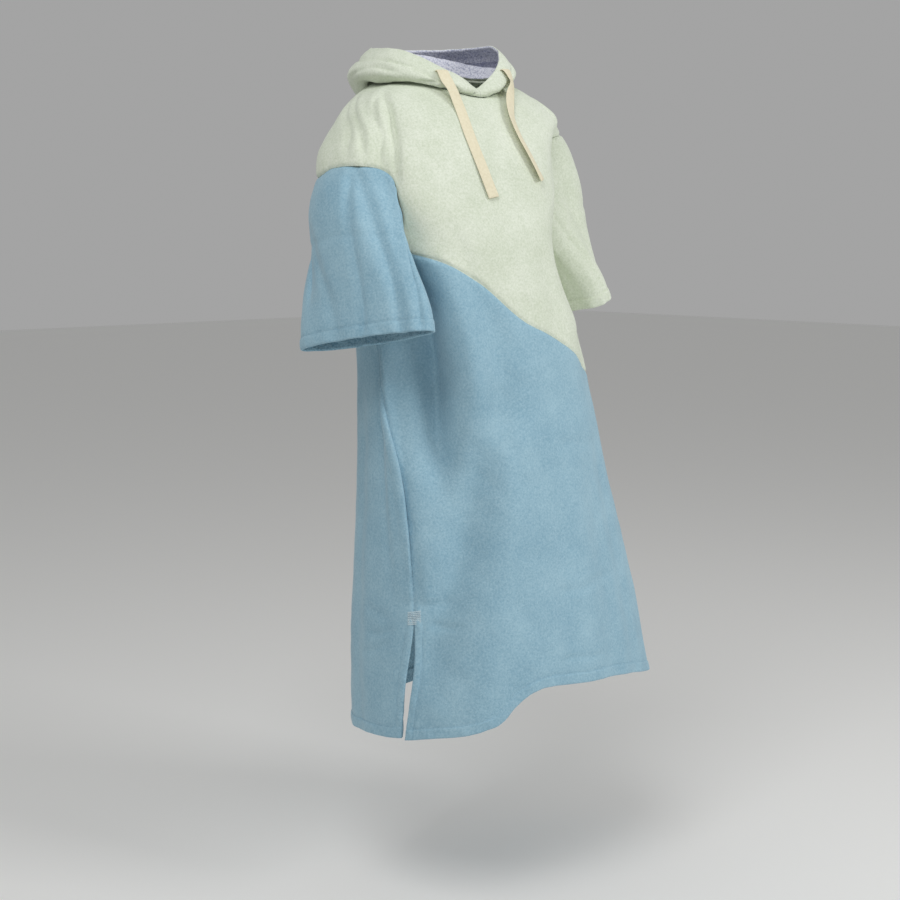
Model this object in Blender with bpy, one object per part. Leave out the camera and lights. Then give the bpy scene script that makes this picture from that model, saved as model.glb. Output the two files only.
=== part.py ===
"""Hooded bath poncho in towelling, in its worn form: two yokes, two skirts, two sleeves,
a hood in two halves and the free ends of its drawstring. Metres, +Z up, wearer faces -Y,
wearer's left is +X; the origin is the middle of the neck base."""
import bpy
import numpy as np

CLOTH = 0.003           # towelling
TAPE = 0.0016           # drawstring tape
TAPE_WIDTH = 0.020
SEAM_GAP = 0.0003       # left open between two pieces at every seam

# Rings of the body, each one level of cloth under the neck seam. Turn is 0 at the front,
# +90 at the wearer's left; square is the power of the ring's superellipse; z_* are the
# ring's heights on four sides; seam_* are the turns of the side seams.
SECTIONS = (
    ("drop", "centre_x", "centre_y", "half_width", "half_depth", "square",
     "z_front", "z_right", "z_left", "z_back", "seam_right", "seam_left"),
    (0.00, 0.000, 0.003, 0.090, 0.080, 2.0, -0.032, -0.008, 0.004, 0.018, -90.0, 90.0),
    (0.04, 0.000, 0.003, 0.130, 0.100, 2.1, -0.054, -0.020, -0.004, 0.002, -90.0, 90.0),
    (0.08, 0.000, -0.002, 0.174, 0.116, 2.1, -0.082, -0.044, -0.024, -0.028, -90.0, 90.0),
    (0.12, 0.003, -0.006, 0.216, 0.130, 2.1, -0.112, -0.084, -0.056, -0.064, -90.0, 90.0),
    (0.15, 0.001, -0.010, 0.241, 0.138, 2.1, -0.138, -0.122, -0.088, -0.096, -90.0, 90.0),
    (0.20, -0.003, -0.018, 0.243, 0.148, 2.1, -0.190, -0.186, -0.148, -0.152, -92.0, 90.0),
    (0.27, -0.009, -0.033, 0.206, 0.154, 2.2, -0.258, -0.262, -0.228, -0.232, -92.0, 90.0),
    (0.40, 0.003, -0.052, 0.190, 0.158, 2.3, -0.386, -0.395, -0.365, -0.368, -90.0, 88.0),
    (0.55, 0.008, -0.064, 0.200, 0.158, 2.3, -0.527, -0.543, -0.515, -0.516, -79.0, 88.0),
    (0.75, 0.025, -0.072, 0.232, 0.172, 2.2, -0.708, -0.734, -0.712, -0.714, -69.0, 90.0),
    (0.90, 0.038, -0.077, 0.256, 0.184, 2.2, -0.838, -0.876, -0.858, -0.862, -67.5, 90.0),
    (1.07, 0.052, -0.084, 0.276, 0.191, 2.2, -0.980, -1.033, -1.019, -1.026, -73.0, 90.0),
)

# Folds: the path of each in turn and drop, the drop over which it fades in at its top and
# out at its bottom, its half width in degrees and its depth into the body; a ridge has a
# negative depth.
FOLDS = (
    ("turn_top", "turn_bottom", "drop_top", "drop_bottom", "fade_top", "fade_bottom", "half_width", "depth"),
    (-60.0, -54.0, 0.08, 0.30, 0.06, 0.06, 8.0, 0.012),     # between chest and right arm
    (54.0, 46.0, 0.10, 0.42, 0.07, 0.16, 19.0, 0.078),      # between chest and left arm
    (66.0, 67.0, 0.232, 0.50, 0.06, 0.18, 13.0, 0.043),     # where the left arm presses
    (48.0, 42.0, 0.28, 0.60, 0.12, 0.18, 14.0, 0.014),      # its lower end
    (-66.0, -50.0, 0.24, 0.78, 0.12, 0.30, 11.0, 0.053),    # valley that the right arm lies in
    (-46.0, -22.0, 0.26, 0.76, 0.12, 0.28, 9.0, -0.012),    # lip in front of that valley
    (-84.0, -80.0, 0.28, 0.80, 0.10, 0.24, 5.0, -0.012),    # ridge along the right side seam
    (-25.0, -27.0, 0.32, 0.62, 0.12, 0.12, 8.0, 0.010),     # trough from the wavy seam down
    (-23.0, -66.0, 0.46, 1.02, 0.16, 0.12, 10.0, 0.020),    # and on to the top of the right slit
    (-12.0, -44.0, 0.50, 1.10, 0.20, 0.10, 9.0, -0.007),    # low ridge left of it
    (28.0, 12.0, 0.55, 1.30, 0.20, 0.20, 9.0, 0.008),       # shallow trough down the left front
    (128.0, 132.0, 0.08, 0.36, 0.08, 0.08, 10.0, 0.018),    # between back and left arm
    (-128.0, -132.0, 0.08, 0.36, 0.08, 0.08, 10.0, 0.011),  # between back and right arm
    (166.0, 158.0, 0.40, 1.30, 0.20, 0.20, 13.0, 0.016),    # long trough in the back skirt
    (-158.0, -148.0, 0.50, 1.30, 0.20, 0.20, 11.0, 0.012),  # shorter one right of it
)

# Armholes: drops of the top and the armpit, the reach from the side seam in degrees, and
# how far the seam rises in front of the arm's top and falls behind it.
ARMHOLES = {
    "right": {"top": 0.170, "armpit": 0.260, "front": 40.0, "back": 36.0, "rise": 0.010, "fall": 0.028},
    "left": {"top": 0.142, "armpit": 0.264, "front": 42.0, "back": 36.0, "rise": 0.004, "fall": 0.016},
}
SQUARE_OVER_ARM = 4.6
SQUARE_UNDER_ARM = 2.6
LAP_FROM = 42.0         # the sleeve is mitred to the body over the shoulder and lapped
LAP_TO = 70.0           # over it below; degrees around the armhole

# Sleeves: cuff centre, its half vectors outward and forward, and how far the cloth stands
# off the arm's line where it leaves the armhole: over, before, under and behind the arm.
SLEEVES = {
    "right": {"cuff": (-0.2405, -0.088, -0.404), "out": (-0.030, -0.033, 0.010),
              "fore": (0.0425, -0.1035, 0.017), "flare": (0.46, -0.05, 0.04, 0.84)},
    "left": {"cuff": (0.251, -0.015, -0.360), "out": (0.046, 0.0, 0.018),
             "fore": (-0.004, -0.110, 0.0), "flare": (0.44, 0.45, -0.10, 0.10)},
}

# Wavy seam between yoke and skirt, and hem: drop against the share of the way across a
# panel from its right edge to its left edge.
SEAM = {
    "front": (("share", "drop"), (0.0, 0.282), (0.195, 0.284), (0.285, 0.302), (0.35, 0.330),
              (0.443, 0.385), (0.545, 0.417), (0.64, 0.449), (0.82, 0.50), (1.0, 0.53)),
    "back": (("share", "drop"), (0.0, 0.282), (0.2, 0.30), (0.4, 0.355), (0.6, 0.43),
             (0.8, 0.495), (1.0, 0.53)),
}
HEM = {
    "front": (("share", "drop"), (0.0, 1.054), (0.07, 1.055), (0.16, 1.061), (0.2, 1.060),
              (0.235, 1.055), (0.27, 1.031), (0.315, 1.017), (0.355, 1.018), (0.4, 1.025),
              (0.485, 1.031), (0.61, 1.036), (0.76, 1.044), (1.0, 1.05)),
    "back": (("share", "drop"), (0.0, 1.050), (0.1, 1.053), (0.2, 1.061), (0.35, 1.063),
             (0.5, 1.06), (1.0, 1.05)),
}
SLIT_TOP = 0.86
SLIT = (("share", "gape"), (0.0, 0.0), (0.45, 3.0), (1.0, 1.6))

# Hood, laid down: at each turn, radius and height over the neck seam of its inner turn, of
# the lowest part of the pouch, of its outer bulge and of the rim.
HOOD = (
    ("turn", "top_r", "top_z", "low_r", "low_z", "out_r", "out_z", "rim_r", "rim_z"),
    (0.0, 0.0775, 0.003, 0.0755, 0.006, 0.073, 0.009, 0.067, 0.013),
    (20.0, 0.082, 0.006, 0.085, 0.005, 0.086, 0.011, 0.073, 0.026),
    (45.0, 0.090, 0.010, 0.097, 0.002, 0.101, 0.012, 0.081, 0.035),
    (70.0, 0.098, 0.014, 0.113, 0.001, 0.123, 0.016, 0.092, 0.044),
    (95.0, 0.102, 0.018, 0.124, -0.001, 0.143, 0.019, 0.105, 0.053),
    (120.0, 0.102, 0.022, 0.130, -0.002, 0.153, 0.014, 0.116, 0.050),
    (150.0, 0.098, 0.024, 0.138, -0.040, 0.163, -0.004, 0.121, 0.042),
    (180.0, 0.096, 0.024, 0.142, -0.085, 0.170, -0.028, 0.122, 0.037),
)
HOOD_SHARES = (0.0, 0.22, 0.5, 0.75, 1.0)
HOOD_TILT = 0.004       # rim higher at the wearer's left and lower at the right

# Free ends of the drawstring: from the buttonhole over the hood (turn, share of the way
# up the hood), then down the chest (turn, drop); each row ends with the distance off the
# cloth and the twist of the tape in degrees.
DRAWSTRINGS = {
    "right": {"hood": ((-44.0, 0.90, 0.0040, 0.0), (-40.0, 0.74, 0.0074, 0.0)),
              "chest": ((-34.0, 0.018, 0.0155, 0.0), (-26.5, 0.045, 0.0055, 0.0),
                        (-19.5, 0.110, 0.0040, 0.0), (-15.6, 0.150, 0.0040, 0.0),
                        (-12.2, 0.202, 0.0040, 0.0))},
    "left": {"hood": ((44.0, 0.90, 0.0030, 0.0), (40.0, 0.72, 0.0060, -6.0)),
             "chest": ((27.0, 0.030, 0.0085, -14.0), (13.2, 0.063, 0.0065, -14.0),
                       (8.6, 0.100, 0.0065, -14.0), (9.2, 0.141, 0.0065, -14.0),
                       (13.0, 0.178, 0.0065, -14.0))},
}

SHOULDER_COLUMNS = 5
MIDDLE_COLUMNS = {"front": 20, "back": 14}
SHOULDER_ROWS = 7
ARMHOLE_ROWS = 8
YOKE_ROWS = 6
SKIRT_ROWS = 20
SLIT_ROWS = 6
SLEEVE_ROWS = 9
HOOD_ROWS = 14
TAPE_ROWS = 18

MINT = (0.665, 0.716, 0.624)
BLUE = (0.270, 0.430, 0.520)
CREAM = (0.700, 0.650, 0.500)


def column(table, name, at):
    """Value of one column of a table at the given value of its first column: a smooth
    curve through the rows, with slopes averaged from both neighbours."""
    rows = np.array(table[1:])
    x = rows[:, 0]
    y = rows[:, table[0].index(name)]
    width = np.diff(x)
    rise = np.diff(y) / width
    slope = np.concatenate(([rise[0]], rise, [rise[-1]]))
    weight = np.concatenate(([1.0], width, [1.0]))
    slope = (slope[:-1] * weight[1:] + slope[1:] * weight[:-1]) / (weight[1:] + weight[:-1])
    at = np.clip(at, x[0], x[-1])
    i = np.clip(np.searchsorted(x, at, side="right") - 1, 0, len(x) - 2)
    return hermite(y[i], y[i + 1], slope[i] * width[i], slope[i + 1] * width[i], (at - x[i]) / width[i])


def hermite(start, end, start_slope, end_slope, share):
    """Cubic from start to end that leaves and arrives with the given slopes."""
    swing = share * share * (3 - 2 * share)
    leave = share * (1 - share) ** 2
    arrive = share * share * (share - 1)
    return start + (end - start) * swing + start_slope * leave + end_slope * arrive


def ease(share):
    """Soft step from 0 to 1."""
    share = np.clip(share, 0.0, 1.0)
    return share * share * (3 - 2 * share)


def unit(vectors):
    return vectors / np.linalg.norm(vectors, axis=-1, keepdims=True)


def fold_depth(turn, drop):
    """Sum of all folds: each a bell across its path, faded in and out along it."""
    total = np.zeros(np.shape(turn))
    for row in FOLDS[1:]:
        fold = dict(zip(FOLDS[0], row))
        share = (drop - fold["drop_top"]) / (fold["drop_bottom"] - fold["drop_top"])
        path = fold["turn_top"] + (fold["turn_bottom"] - fold["turn_top"]) * np.clip(share, 0, 1)
        away = (turn - path + 180.0) % 360.0 - 180.0
        start = ease((drop - fold["drop_top"]) / fold["fade_top"])
        end = ease((fold["drop_bottom"] - drop) / fold["fade_bottom"])
        total = total + fold["depth"] * np.exp(-(away / fold["half_width"]) ** 2) * start * end
    return total


def body_point(turn, drop):
    """Point of the body's cloth: its ring's superellipse, its height blended between the
    four sides by the squares of sine and cosine, then the folds pushed in."""
    turn, drop = np.broadcast_arrays(np.asarray(turn, float), np.asarray(drop, float))
    ring = {name: column(SECTIONS, name, drop) for name in SECTIONS[0][1:10]}
    sine = np.sin(np.radians(turn))
    cosine = np.cos(np.radians(turn))
    reach = (np.abs(sine) ** ring["square"] + np.abs(cosine) ** ring["square"]) ** (-1 / ring["square"])
    side = np.stack([sine / ring["half_width"], -cosine / ring["half_depth"]], -1)
    inward = -unit(side) * fold_depth(turn, drop)[..., None]
    x = ring["centre_x"] + ring["half_width"] * reach * sine + inward[..., 0]
    y = ring["centre_y"] - ring["half_depth"] * reach * cosine + inward[..., 1]
    fore = np.where(cosine > 0, ring["z_front"], ring["z_back"])
    flank = np.where(sine > 0, ring["z_left"], ring["z_right"])
    return np.stack([x, y, fore * cosine ** 2 + flank * sine ** 2], -1)


def armhole_place(side, around):
    """Turn and drop on the armhole; around is 0 on the shoulder, +90 in front, 180 under
    the arm and -90 behind."""
    hole = ARMHOLES[side]
    sine = np.sin(np.radians(around))
    cosine = np.cos(np.radians(around))
    square = np.where(cosine > 0, SQUARE_OVER_ARM, SQUARE_UNDER_ARM)
    reach = (np.abs(sine) ** square + np.abs(cosine) ** square) ** (-1 / square)
    drop = (hole["top"] + hole["armpit"] - (hole["armpit"] - hole["top"]) * reach * cosine) / 2
    lean = np.where(sine > 0, hole["rise"], hole["fall"])
    drop = drop - lean * sine * np.maximum(cosine, 0.0)
    forward = 1.0 if side == "right" else -1.0
    span = np.where(sine > 0, hole["front"], hole["back"])
    return column(SECTIONS, "seam_" + side, drop) + forward * span * reach * sine, drop


def armhole_point(side, around):
    return body_point(*armhole_place(side, around))


def lap(around):
    """How far the sleeve is lapped over the body instead of mitred to it: 0 over the
    shoulder, 1 under the arm."""
    return ease((np.abs((around + 180.0) % 360.0 - 180.0) - LAP_FROM) / (LAP_TO - LAP_FROM))


def sleeve_point(side, around, share):
    """Point of a sleeve between its armhole (share 0) and its cuff (share 1): a cubic that
    leaves the armhole along the arm with some flare and reaches the cuff along the arm."""
    sleeve = SLEEVES[side]
    around, share = np.broadcast_arrays(np.asarray(around, float), np.asarray(share, float))
    place = armhole_place(side, around)
    step = lap(around)[..., None] * (CLOTH + 3 * SEAM_GAP)
    start = body_point(*place) + body_normal(*place) * step
    middle = armhole_point(side, np.arange(-180.0, 180.0, 10.0)).mean(0)
    out, fore, centre = (np.array(sleeve[name]) for name in ("out", "fore", "cuff"))
    arm = unit(np.cross(out, fore))
    arm = arm if arm[2] < 0 else -arm
    sine = np.sin(np.radians(around))[..., None]
    cosine = np.cos(np.radians(around))[..., None]
    cuff = centre + cosine * out + sine * fore
    away = start - middle
    away = unit(away - (away @ arm)[..., None] * arm)
    parts = zip(sleeve["flare"], (cosine, sine, -cosine, -sine))
    flare = sum(flare * np.maximum(part, 0.0) ** 2 for flare, part in parts)
    length = np.linalg.norm(cuff - start, axis=-1, keepdims=True)
    return hermite(start, cuff, unit(arm + flare * away) * length, arm * length, share[..., None])


def hood_point(turn, share):
    """Point of the hood between the neck seam (share 0) and the rim (share 1): a smooth
    curve through the five places that the table gives at each turn."""
    turn, share = np.broadcast_arrays(np.asarray(turn, float), np.asarray(share, float))
    base = body_point(turn, 0.0)
    profile = {name: column(HOOD, name, np.abs((turn + 180.0) % 360.0 - 180.0)) for name in HOOD[0][1:]}
    base_radius = np.hypot(base[..., 0], base[..., 1])
    radii = [base_radius]
    heights = [np.zeros_like(turn)]
    for place in ("top", "low", "out", "rim"):
        radii.append(profile[place + "_r"])
        heights.append(profile[place + "_z"])
    radius, height = (through(np.array(values), share) for values in (radii, heights))
    height = height + HOOD_TILT * np.sin(np.radians(turn)) * share
    stretch = radius / base_radius
    return np.stack([base[..., 0] * stretch, base[..., 1] * stretch, base[..., 2] + height], -1)


def through(values, share):
    """Smooth curve through the hood's five values at their shares."""
    shape = (-1,) + (1,) * (values.ndim - 1)
    width = np.diff(HOOD_SHARES).reshape(shape)
    rise = np.diff(values, axis=0) / width
    inside = (rise[:-1] * width[1:] + rise[1:] * width[:-1]) / (width[1:] + width[:-1])
    slope = np.concatenate([rise[:1], inside, rise[-1:]])
    i = np.clip(np.searchsorted(HOOD_SHARES, share, side="right") - 1, 0, len(width) - 1)
    span = np.diff(HOOD_SHARES)[i]
    pick = [np.take_along_axis(array, i[None] + step, 0)[0] for array in (values, slope) for step in (0, 1)]
    local = (share - np.array(HOOD_SHARES)[i]) / span
    return hermite(pick[0], pick[1], pick[2] * span, pick[3] * span, local)


def outward(surface, first, second, step, flip=1.0):
    """Unit normal of a surface of two parameters, by central differences."""
    across = surface(first + 0.5, second) - surface(first - 0.5, second)
    along = surface(first, second + step) - surface(first, second - step)
    return flip * unit(np.cross(along, across))


def body_normal(turn, drop):
    return outward(body_point, turn, drop, 0.002)


def sleeve_normal(side, around, share):
    flip = 1.0 if side == "right" else -1.0
    return outward(lambda a, b: sleeve_point(side, a, b), around, share, 0.01, flip)


def hood_normal(turn, share):
    return outward(hood_point, turn, share, 0.01, -1.0)


def mitre(one, other):
    """Direction shared by two cloths that meet at an angle, lengthened to keep both at
    full thickness."""
    both = unit(one + other)
    return both / np.maximum((both * one).sum(-1, keepdims=True), 0.6)


def armhole_offset(side, around, own):
    """Offset at the armhole: the mitre over the shoulder, the cloth's own normal where the
    sleeve is lapped over the body."""
    body = body_normal(*armhole_place(side, around))
    sleeve = sleeve_normal(side, around, 0.0)
    share = lap(around)[..., None]
    return mitre(body, sleeve) * (1 - share) + (body if own == "body" else sleeve) * share


def neck_mitre(turn):
    return mitre(body_normal(turn, 0.001), hood_normal(turn, 0.01))


def spread(start, end, steps):
    """Shares of the way from start to end as a column, both ends included."""
    return start + (end - start) * np.linspace(0.0, 1.0, steps + 1)


def edge_turns(face, drop):
    """Turns of a panel's right and left edge, apart from the armholes; the back panel
    stands off the side seams by the gape of the slits."""
    right = column(SECTIONS, "seam_right", drop)
    left = column(SECTIONS, "seam_left", drop)
    if face == "front":
        return right, left
    gape = column(SLIT, "gape", (drop - SLIT_TOP) / (1.054 - SLIT_TOP))
    return right - gape, left - 360.0 + gape


def across_panel(face, share, drop):
    """Turn at a share of the way from a panel's right edge to its left edge."""
    right, left = edge_turns(face, drop)
    return right + (left - right) * share


def panel_shares(face):
    """Shares of a panel's columns: those under the shoulders, then those between."""
    corner = 0.2
    return np.concatenate([spread(0.0, corner, SHOULDER_COLUMNS)[:-1],
                           spread(corner, 1 - corner, MIDDLE_COLUMNS[face]),
                           spread(1 - corner, 1.0, SHOULDER_COLUMNS)[1:]])


def armhole_row(face, start, end):
    """Turn and drop of the row that runs along both armholes from the shoulder or side
    seam (start, in degrees around) to the corner (end) and straight between them."""
    sign = 1.0 if face == "front" else -1.0
    around = sign * spread(start, end, SHOULDER_COLUMNS)
    right = armhole_place("right", around)
    left = armhole_place("left", around[::-1])
    between = np.linspace(0.0, 1.0, MIDDLE_COLUMNS[face] + 1)[1:-1]
    turns = left[0] - (0.0 if face == "front" else 360.0)
    middle = right[0][-1] + (turns[0] - right[0][-1]) * between
    drops = right[1][-1] + (left[1][0] - right[1][-1]) * between
    return np.concatenate([right[0], middle, turns]), np.concatenate([right[1], drops, left[1]])


def blend_rows(first, last, steps):
    """Rows of turn and drop from the first to the last, evenly between them."""
    share = np.linspace(0.0, 1.0, steps + 1)[:, None]
    return tuple(a + (b - a) * share for a, b in zip(first, last))


def yoke_grids(face):
    """Turn, drop and offset of a yoke in three grids: over the armholes, between them and
    below them, the last one ending at the wavy seam."""
    shares = panel_shares(face)
    neck = (across_panel(face, shares, 0.0), np.zeros(len(shares)))
    over = armhole_row(face, 0.0, 45.0)
    under = armhole_row(face, 180.0, 135.0)
    seam = column(SEAM[face], "drop", shares)
    bottom = (across_panel(face, shares, seam), seam)
    upper = blend_rows(neck, over, SHOULDER_ROWS)
    lower = blend_rows(under, bottom, YOKE_ROWS)
    sign = 1.0 if face == "front" else -1.0
    around = sign * spread(45.0, 135.0, ARMHOLE_ROWS)
    right = armhole_place("right", around)
    left = armhole_place("left", around)
    turns = left[0] - (0.0 if face == "front" else 360.0)
    share = np.linspace(0.0, 1.0, MIDDLE_COLUMNS[face] + 1)
    middle = (right[0][:, None] + (turns - right[0])[:, None] * share,
              right[1][:, None] + (left[1] - right[1])[:, None] * share)
    grids = [body_grid(*rows) for rows in (upper, middle, lower)]
    corner = SHOULDER_COLUMNS
    over_around = sign * spread(0.0, 45.0, corner)
    under_around = sign * spread(180.0, 135.0, corner)
    grids[0][1][0] = neck_mitre(neck[0])
    grids[0][1][-1, :corner + 1] = armhole_offset("right", over_around, "body")
    grids[0][1][-1, -corner - 1:] = armhole_offset("left", over_around[::-1], "body")
    grids[1][1][:, 0] = armhole_offset("right", around, "body")
    grids[1][1][:, -1] = armhole_offset("left", around, "body")
    grids[2][1][0, :corner + 1] = armhole_offset("right", under_around, "body")
    grids[2][1][0, -corner - 1:] = armhole_offset("left", under_around[::-1], "body")
    return grids


def skirt_grids(face):
    """Points and offsets of a skirt, from the wavy seam past the tops of the slits to the
    hem."""
    shares = panel_shares(face)
    seam = column(SEAM[face], "drop", shares)
    hem = column(HEM[face], "drop", shares)
    above = seam + (SLIT_TOP - seam) * np.linspace(0.0, 1.0, SKIRT_ROWS + 1)[:, None]
    below = SLIT_TOP + (hem - SLIT_TOP) * np.linspace(0.0, 1.0, SLIT_ROWS + 1)[1:, None]
    drop = np.concatenate([above, below])
    return [body_grid(across_panel(face, shares, drop), drop)]


def body_grid(turn, drop):
    return body_point(turn, drop), body_normal(turn, drop)


def sleeve_grids(side):
    """Points and offsets of a sleeve; its columns start where those of the yokes end."""
    quarter = spread(0.0, 45.0, SHOULDER_COLUMNS)[:-1]
    front = np.concatenate([quarter, spread(45.0, 135.0, ARMHOLE_ROWS)[:-1], 135.0 + quarter])
    around = np.concatenate([front, [180.0], -front[:0:-1], [0.0]])
    share = np.linspace(0.0, 1.0, SLEEVE_ROWS + 1)[:, None]
    offset = sleeve_normal(side, around, share)
    offset[0] = armhole_offset(side, around, "sleeve")
    return [(sleeve_point(side, around, share), offset)]


def hood_grids(side):
    """Points and offsets of one half of the hood, from the V to the seam over the crown."""
    turns = np.concatenate([across_panel("front", panel_shares("front"), 0.0),
                            across_panel("back", panel_shares("back"), 0.0)])
    turns = np.unique(np.round(np.abs((turns + 180.0) % 360.0 - 180.0), 6))
    turns = turns if side == "left" else -turns
    share = np.linspace(0.0, 1.0, HOOD_ROWS + 1)[:, None]
    offset = hood_normal(turns, share)
    offset[0] = neck_mitre(turns)
    return [(hood_point(turns, share), offset)]


def weld(grids):
    """One list of points, offsets and quads from grids that share their border points."""
    points, offsets, quads = [], [], []
    index = {}
    for place, offset in grids:
        rows, columns = place.shape[:2]
        keys = np.empty((rows, columns), int)
        for i in range(rows):
            for j in range(columns):
                key = tuple(np.round(place[i, j], 6))
                if key not in index:
                    index[key] = len(points)
                    points.append(place[i, j])
                    offsets.append(offset[i, j])
                keys[i, j] = index[key]
        for i in range(rows - 1):
            for j in range(columns - 1):
                quads.append((keys[i, j], keys[i + 1, j], keys[i + 1, j + 1], keys[i, j + 1]))
    return np.array(points), np.array(offsets), quads


def borders(quads):
    """Directed edges that only one quad uses."""
    edges = {}
    for quad in quads:
        for a, b in zip(quad, quad[1:] + quad[:1]):
            edges[(a, b)] = quad
    return {edge: quad for edge, quad in edges.items() if edge[::-1] not in edges}


def draw_in(points, quads, distance):
    """Points with every border moved in by the distance, square to the border."""
    pulls = {}
    for (a, b), quad in borders(quads).items():
        along = unit(points[b] - points[a])
        inward = points[list(quad)].mean(0) - (points[a] + points[b]) / 2
        inward = unit(inward - (inward @ along) * along)
        pulls.setdefault(a, []).append(inward)
        pulls.setdefault(b, []).append(inward)
    moved = points.copy()
    for vertex, directions in pulls.items():
        move = np.linalg.lstsq(np.array(directions), np.full(len(directions), distance), rcond=None)[0]
        moved[vertex] += move * min(1.0, 2.5 * distance / np.linalg.norm(move))
    return moved


def cloth(name, grids, thickness, material):
    """Closed cloth of the thickness about a middle surface, drawn in at its borders."""
    points, offsets, quads = weld(grids)
    points = draw_in(points, quads, SEAM_GAP / 2)
    count = len(points)
    both = np.concatenate([points + offsets * thickness / 2, points - offsets * thickness / 2])
    faces = list(quads)
    faces += [tuple(i + count for i in reversed(quad)) for quad in quads]
    faces += [(b, a, a + count, b + count) for a, b in borders(quads)]
    solid(name, both, faces, material)


def solid(name, points, faces, material):
    """Named object with its faces turned outward."""
    triangles = np.array([(face[0], face[i], face[i + 1]) for face in faces for i in range(1, len(face) - 1)])
    a, b, c = (points[triangles[:, i]] for i in range(3))
    if np.einsum("ij,ij->", a, np.cross(b, c)) < 0:
        faces = [tuple(reversed(face)) for face in faces]
    mesh = bpy.data.meshes.new(name)
    mesh.from_pydata([tuple(point) for point in points], [], [tuple(int(i) for i in face) for face in faces])
    mesh.materials.append(material)
    mesh.update()
    bpy.context.scene.collection.objects.link(bpy.data.objects.new(name, mesh))


def tape(name, side, material):
    """Free end of the drawstring: a flat tape from its buttonhole down the chest, each
    point of its route set off from the cloth, its width along the cloth but for its twist."""
    points, normals, twists = [], [], []
    for place, point, normal in (("hood", hood_point, hood_normal), ("chest", body_point, body_normal)):
        turn, across, off, twist = np.array(DRAWSTRINGS[side][place]).T
        normals.append(normal(turn, across))
        points.append(point(turn, across) + normals[-1] * off[:, None])
        twists.append(twist)
    points, normals, twists = (np.concatenate(values) for values in (points, normals, twists))
    length = np.concatenate([[0.0], np.cumsum(np.linalg.norm(np.diff(points, axis=0), axis=1))])
    at = np.linspace(0.0, length[-1], TAPE_ROWS + 1)
    route = np.column_stack([points, normals, twists])
    route = np.stack([column((("at", "value"), *zip(length, values)), "value", at) for values in route.T], -1)
    path, face, twist = route[:, :3], route[:, 3:6], np.radians(route[:, 6:])
    along = unit(np.gradient(path, axis=0))
    face = unit(face - (face * along).sum(1)[:, None] * along)
    wide = np.cross(along, face)
    face, wide = face * np.cos(twist) + wide * np.sin(twist), wide * np.cos(twist) - face * np.sin(twist)
    wide = wide * TAPE_WIDTH / 2
    thick = face * TAPE / 2
    rings = np.stack([path + wide + thick, path - wide + thick, path - wide - thick, path + wide - thick], 1)
    faces = [(0, 1, 2, 3), tuple(4 * TAPE_ROWS + i for i in (3, 2, 1, 0))]
    for i in range(TAPE_ROWS):
        for j in range(4):
            faces.append((4 * i + j, 4 * i + 4 + j, 4 * i + 4 + (j + 1) % 4, 4 * i + (j + 1) % 4))
    solid(name, rings.reshape(-1, 3), faces, material)


def principled(name, colour, roughness, sheen):
    material = bpy.data.materials.new(name)
    material.use_nodes = True
    shader = material.node_tree.nodes["Principled BSDF"]
    shader.inputs["Base Color"].default_value = (*colour, 1.0)
    shader.inputs["Roughness"].default_value = roughness
    shader.inputs["Sheen Weight"].default_value = sheen
    return material


for thing in list(bpy.data.objects):
    bpy.data.objects.remove(thing, do_unlink=True)

mint = principled("mint_towelling", MINT, 0.95, 0.3)
blue = principled("blue_towelling", BLUE, 0.95, 0.3)
cream = principled("cream_tape", CREAM, 0.85, 0.0)

for face in ("front", "back"):
    cloth(face + "_yoke", yoke_grids(face), CLOTH, mint)
    cloth(face + "_skirt", skirt_grids(face), CLOTH, blue)
cloth("sleeve_right", sleeve_grids("right"), CLOTH, blue)
cloth("sleeve_left", sleeve_grids("left"), CLOTH, mint)
for side in ("right", "left"):
    cloth("hood_" + side, hood_grids(side), CLOTH, mint)
    tape("drawstring_" + side, side, cream)
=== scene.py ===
"""Hooded bath poncho in velour towelling, as it hangs on its wearer: mint yokes, hood and
left sleeve, blue skirts and right sleeve, and the two loose ends of a flat drawstring.
Metres, +Z up; the wearer faces -Y, their left is +X, the origin is the neck base."""
from functools import partial

import bpy
import numpy as np
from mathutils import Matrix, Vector


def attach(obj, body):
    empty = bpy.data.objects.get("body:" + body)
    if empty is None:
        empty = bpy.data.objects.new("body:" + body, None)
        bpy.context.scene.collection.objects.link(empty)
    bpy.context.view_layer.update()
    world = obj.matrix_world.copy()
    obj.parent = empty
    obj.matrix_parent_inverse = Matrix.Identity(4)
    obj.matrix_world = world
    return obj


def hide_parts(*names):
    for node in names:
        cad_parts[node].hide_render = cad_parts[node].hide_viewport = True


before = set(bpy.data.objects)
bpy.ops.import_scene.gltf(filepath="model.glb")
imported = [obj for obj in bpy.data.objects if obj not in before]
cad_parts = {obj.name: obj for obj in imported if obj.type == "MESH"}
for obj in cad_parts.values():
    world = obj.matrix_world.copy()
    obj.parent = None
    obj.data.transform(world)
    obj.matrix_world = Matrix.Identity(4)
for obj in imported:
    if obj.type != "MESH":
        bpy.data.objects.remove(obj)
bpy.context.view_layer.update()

# ------------------------------------------------------------------ camera, floor, light
# The garment hangs at a standing adult's height over a plain pale floor. A camera at the
# wearer's front right looks a little down on it. One broad soft lamp stands before the
# wearer, one hangs above their right side, and the white room fills the shade.
FRAME_PIXELS = 900
FOCAL_PIXELS = 1589.0
CAMERA_TURN = 42.0          # degrees from the wearer's front towards their right
CAMERA_REACH = 2.6
CAMERA_HEIGHT = -0.242
LOOKS_DOWN = 7.81           # degrees
LOOKS_RIGHT = 0.108         # degrees
FLOOR_HEIGHT = -1.29
FLOOR_REACH = 14.0


def colour(code):
    """Linear colour of an sRGB hex code, opaque: each channel by the sRGB curve."""
    channels = (int(code[i:i + 2], 16) / 255 for i in (1, 3, 5))
    return *(c / 12.92 if c <= 0.04045 else ((c + 0.055) / 1.055) ** 2.4 for c in channels), 1.0


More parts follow.
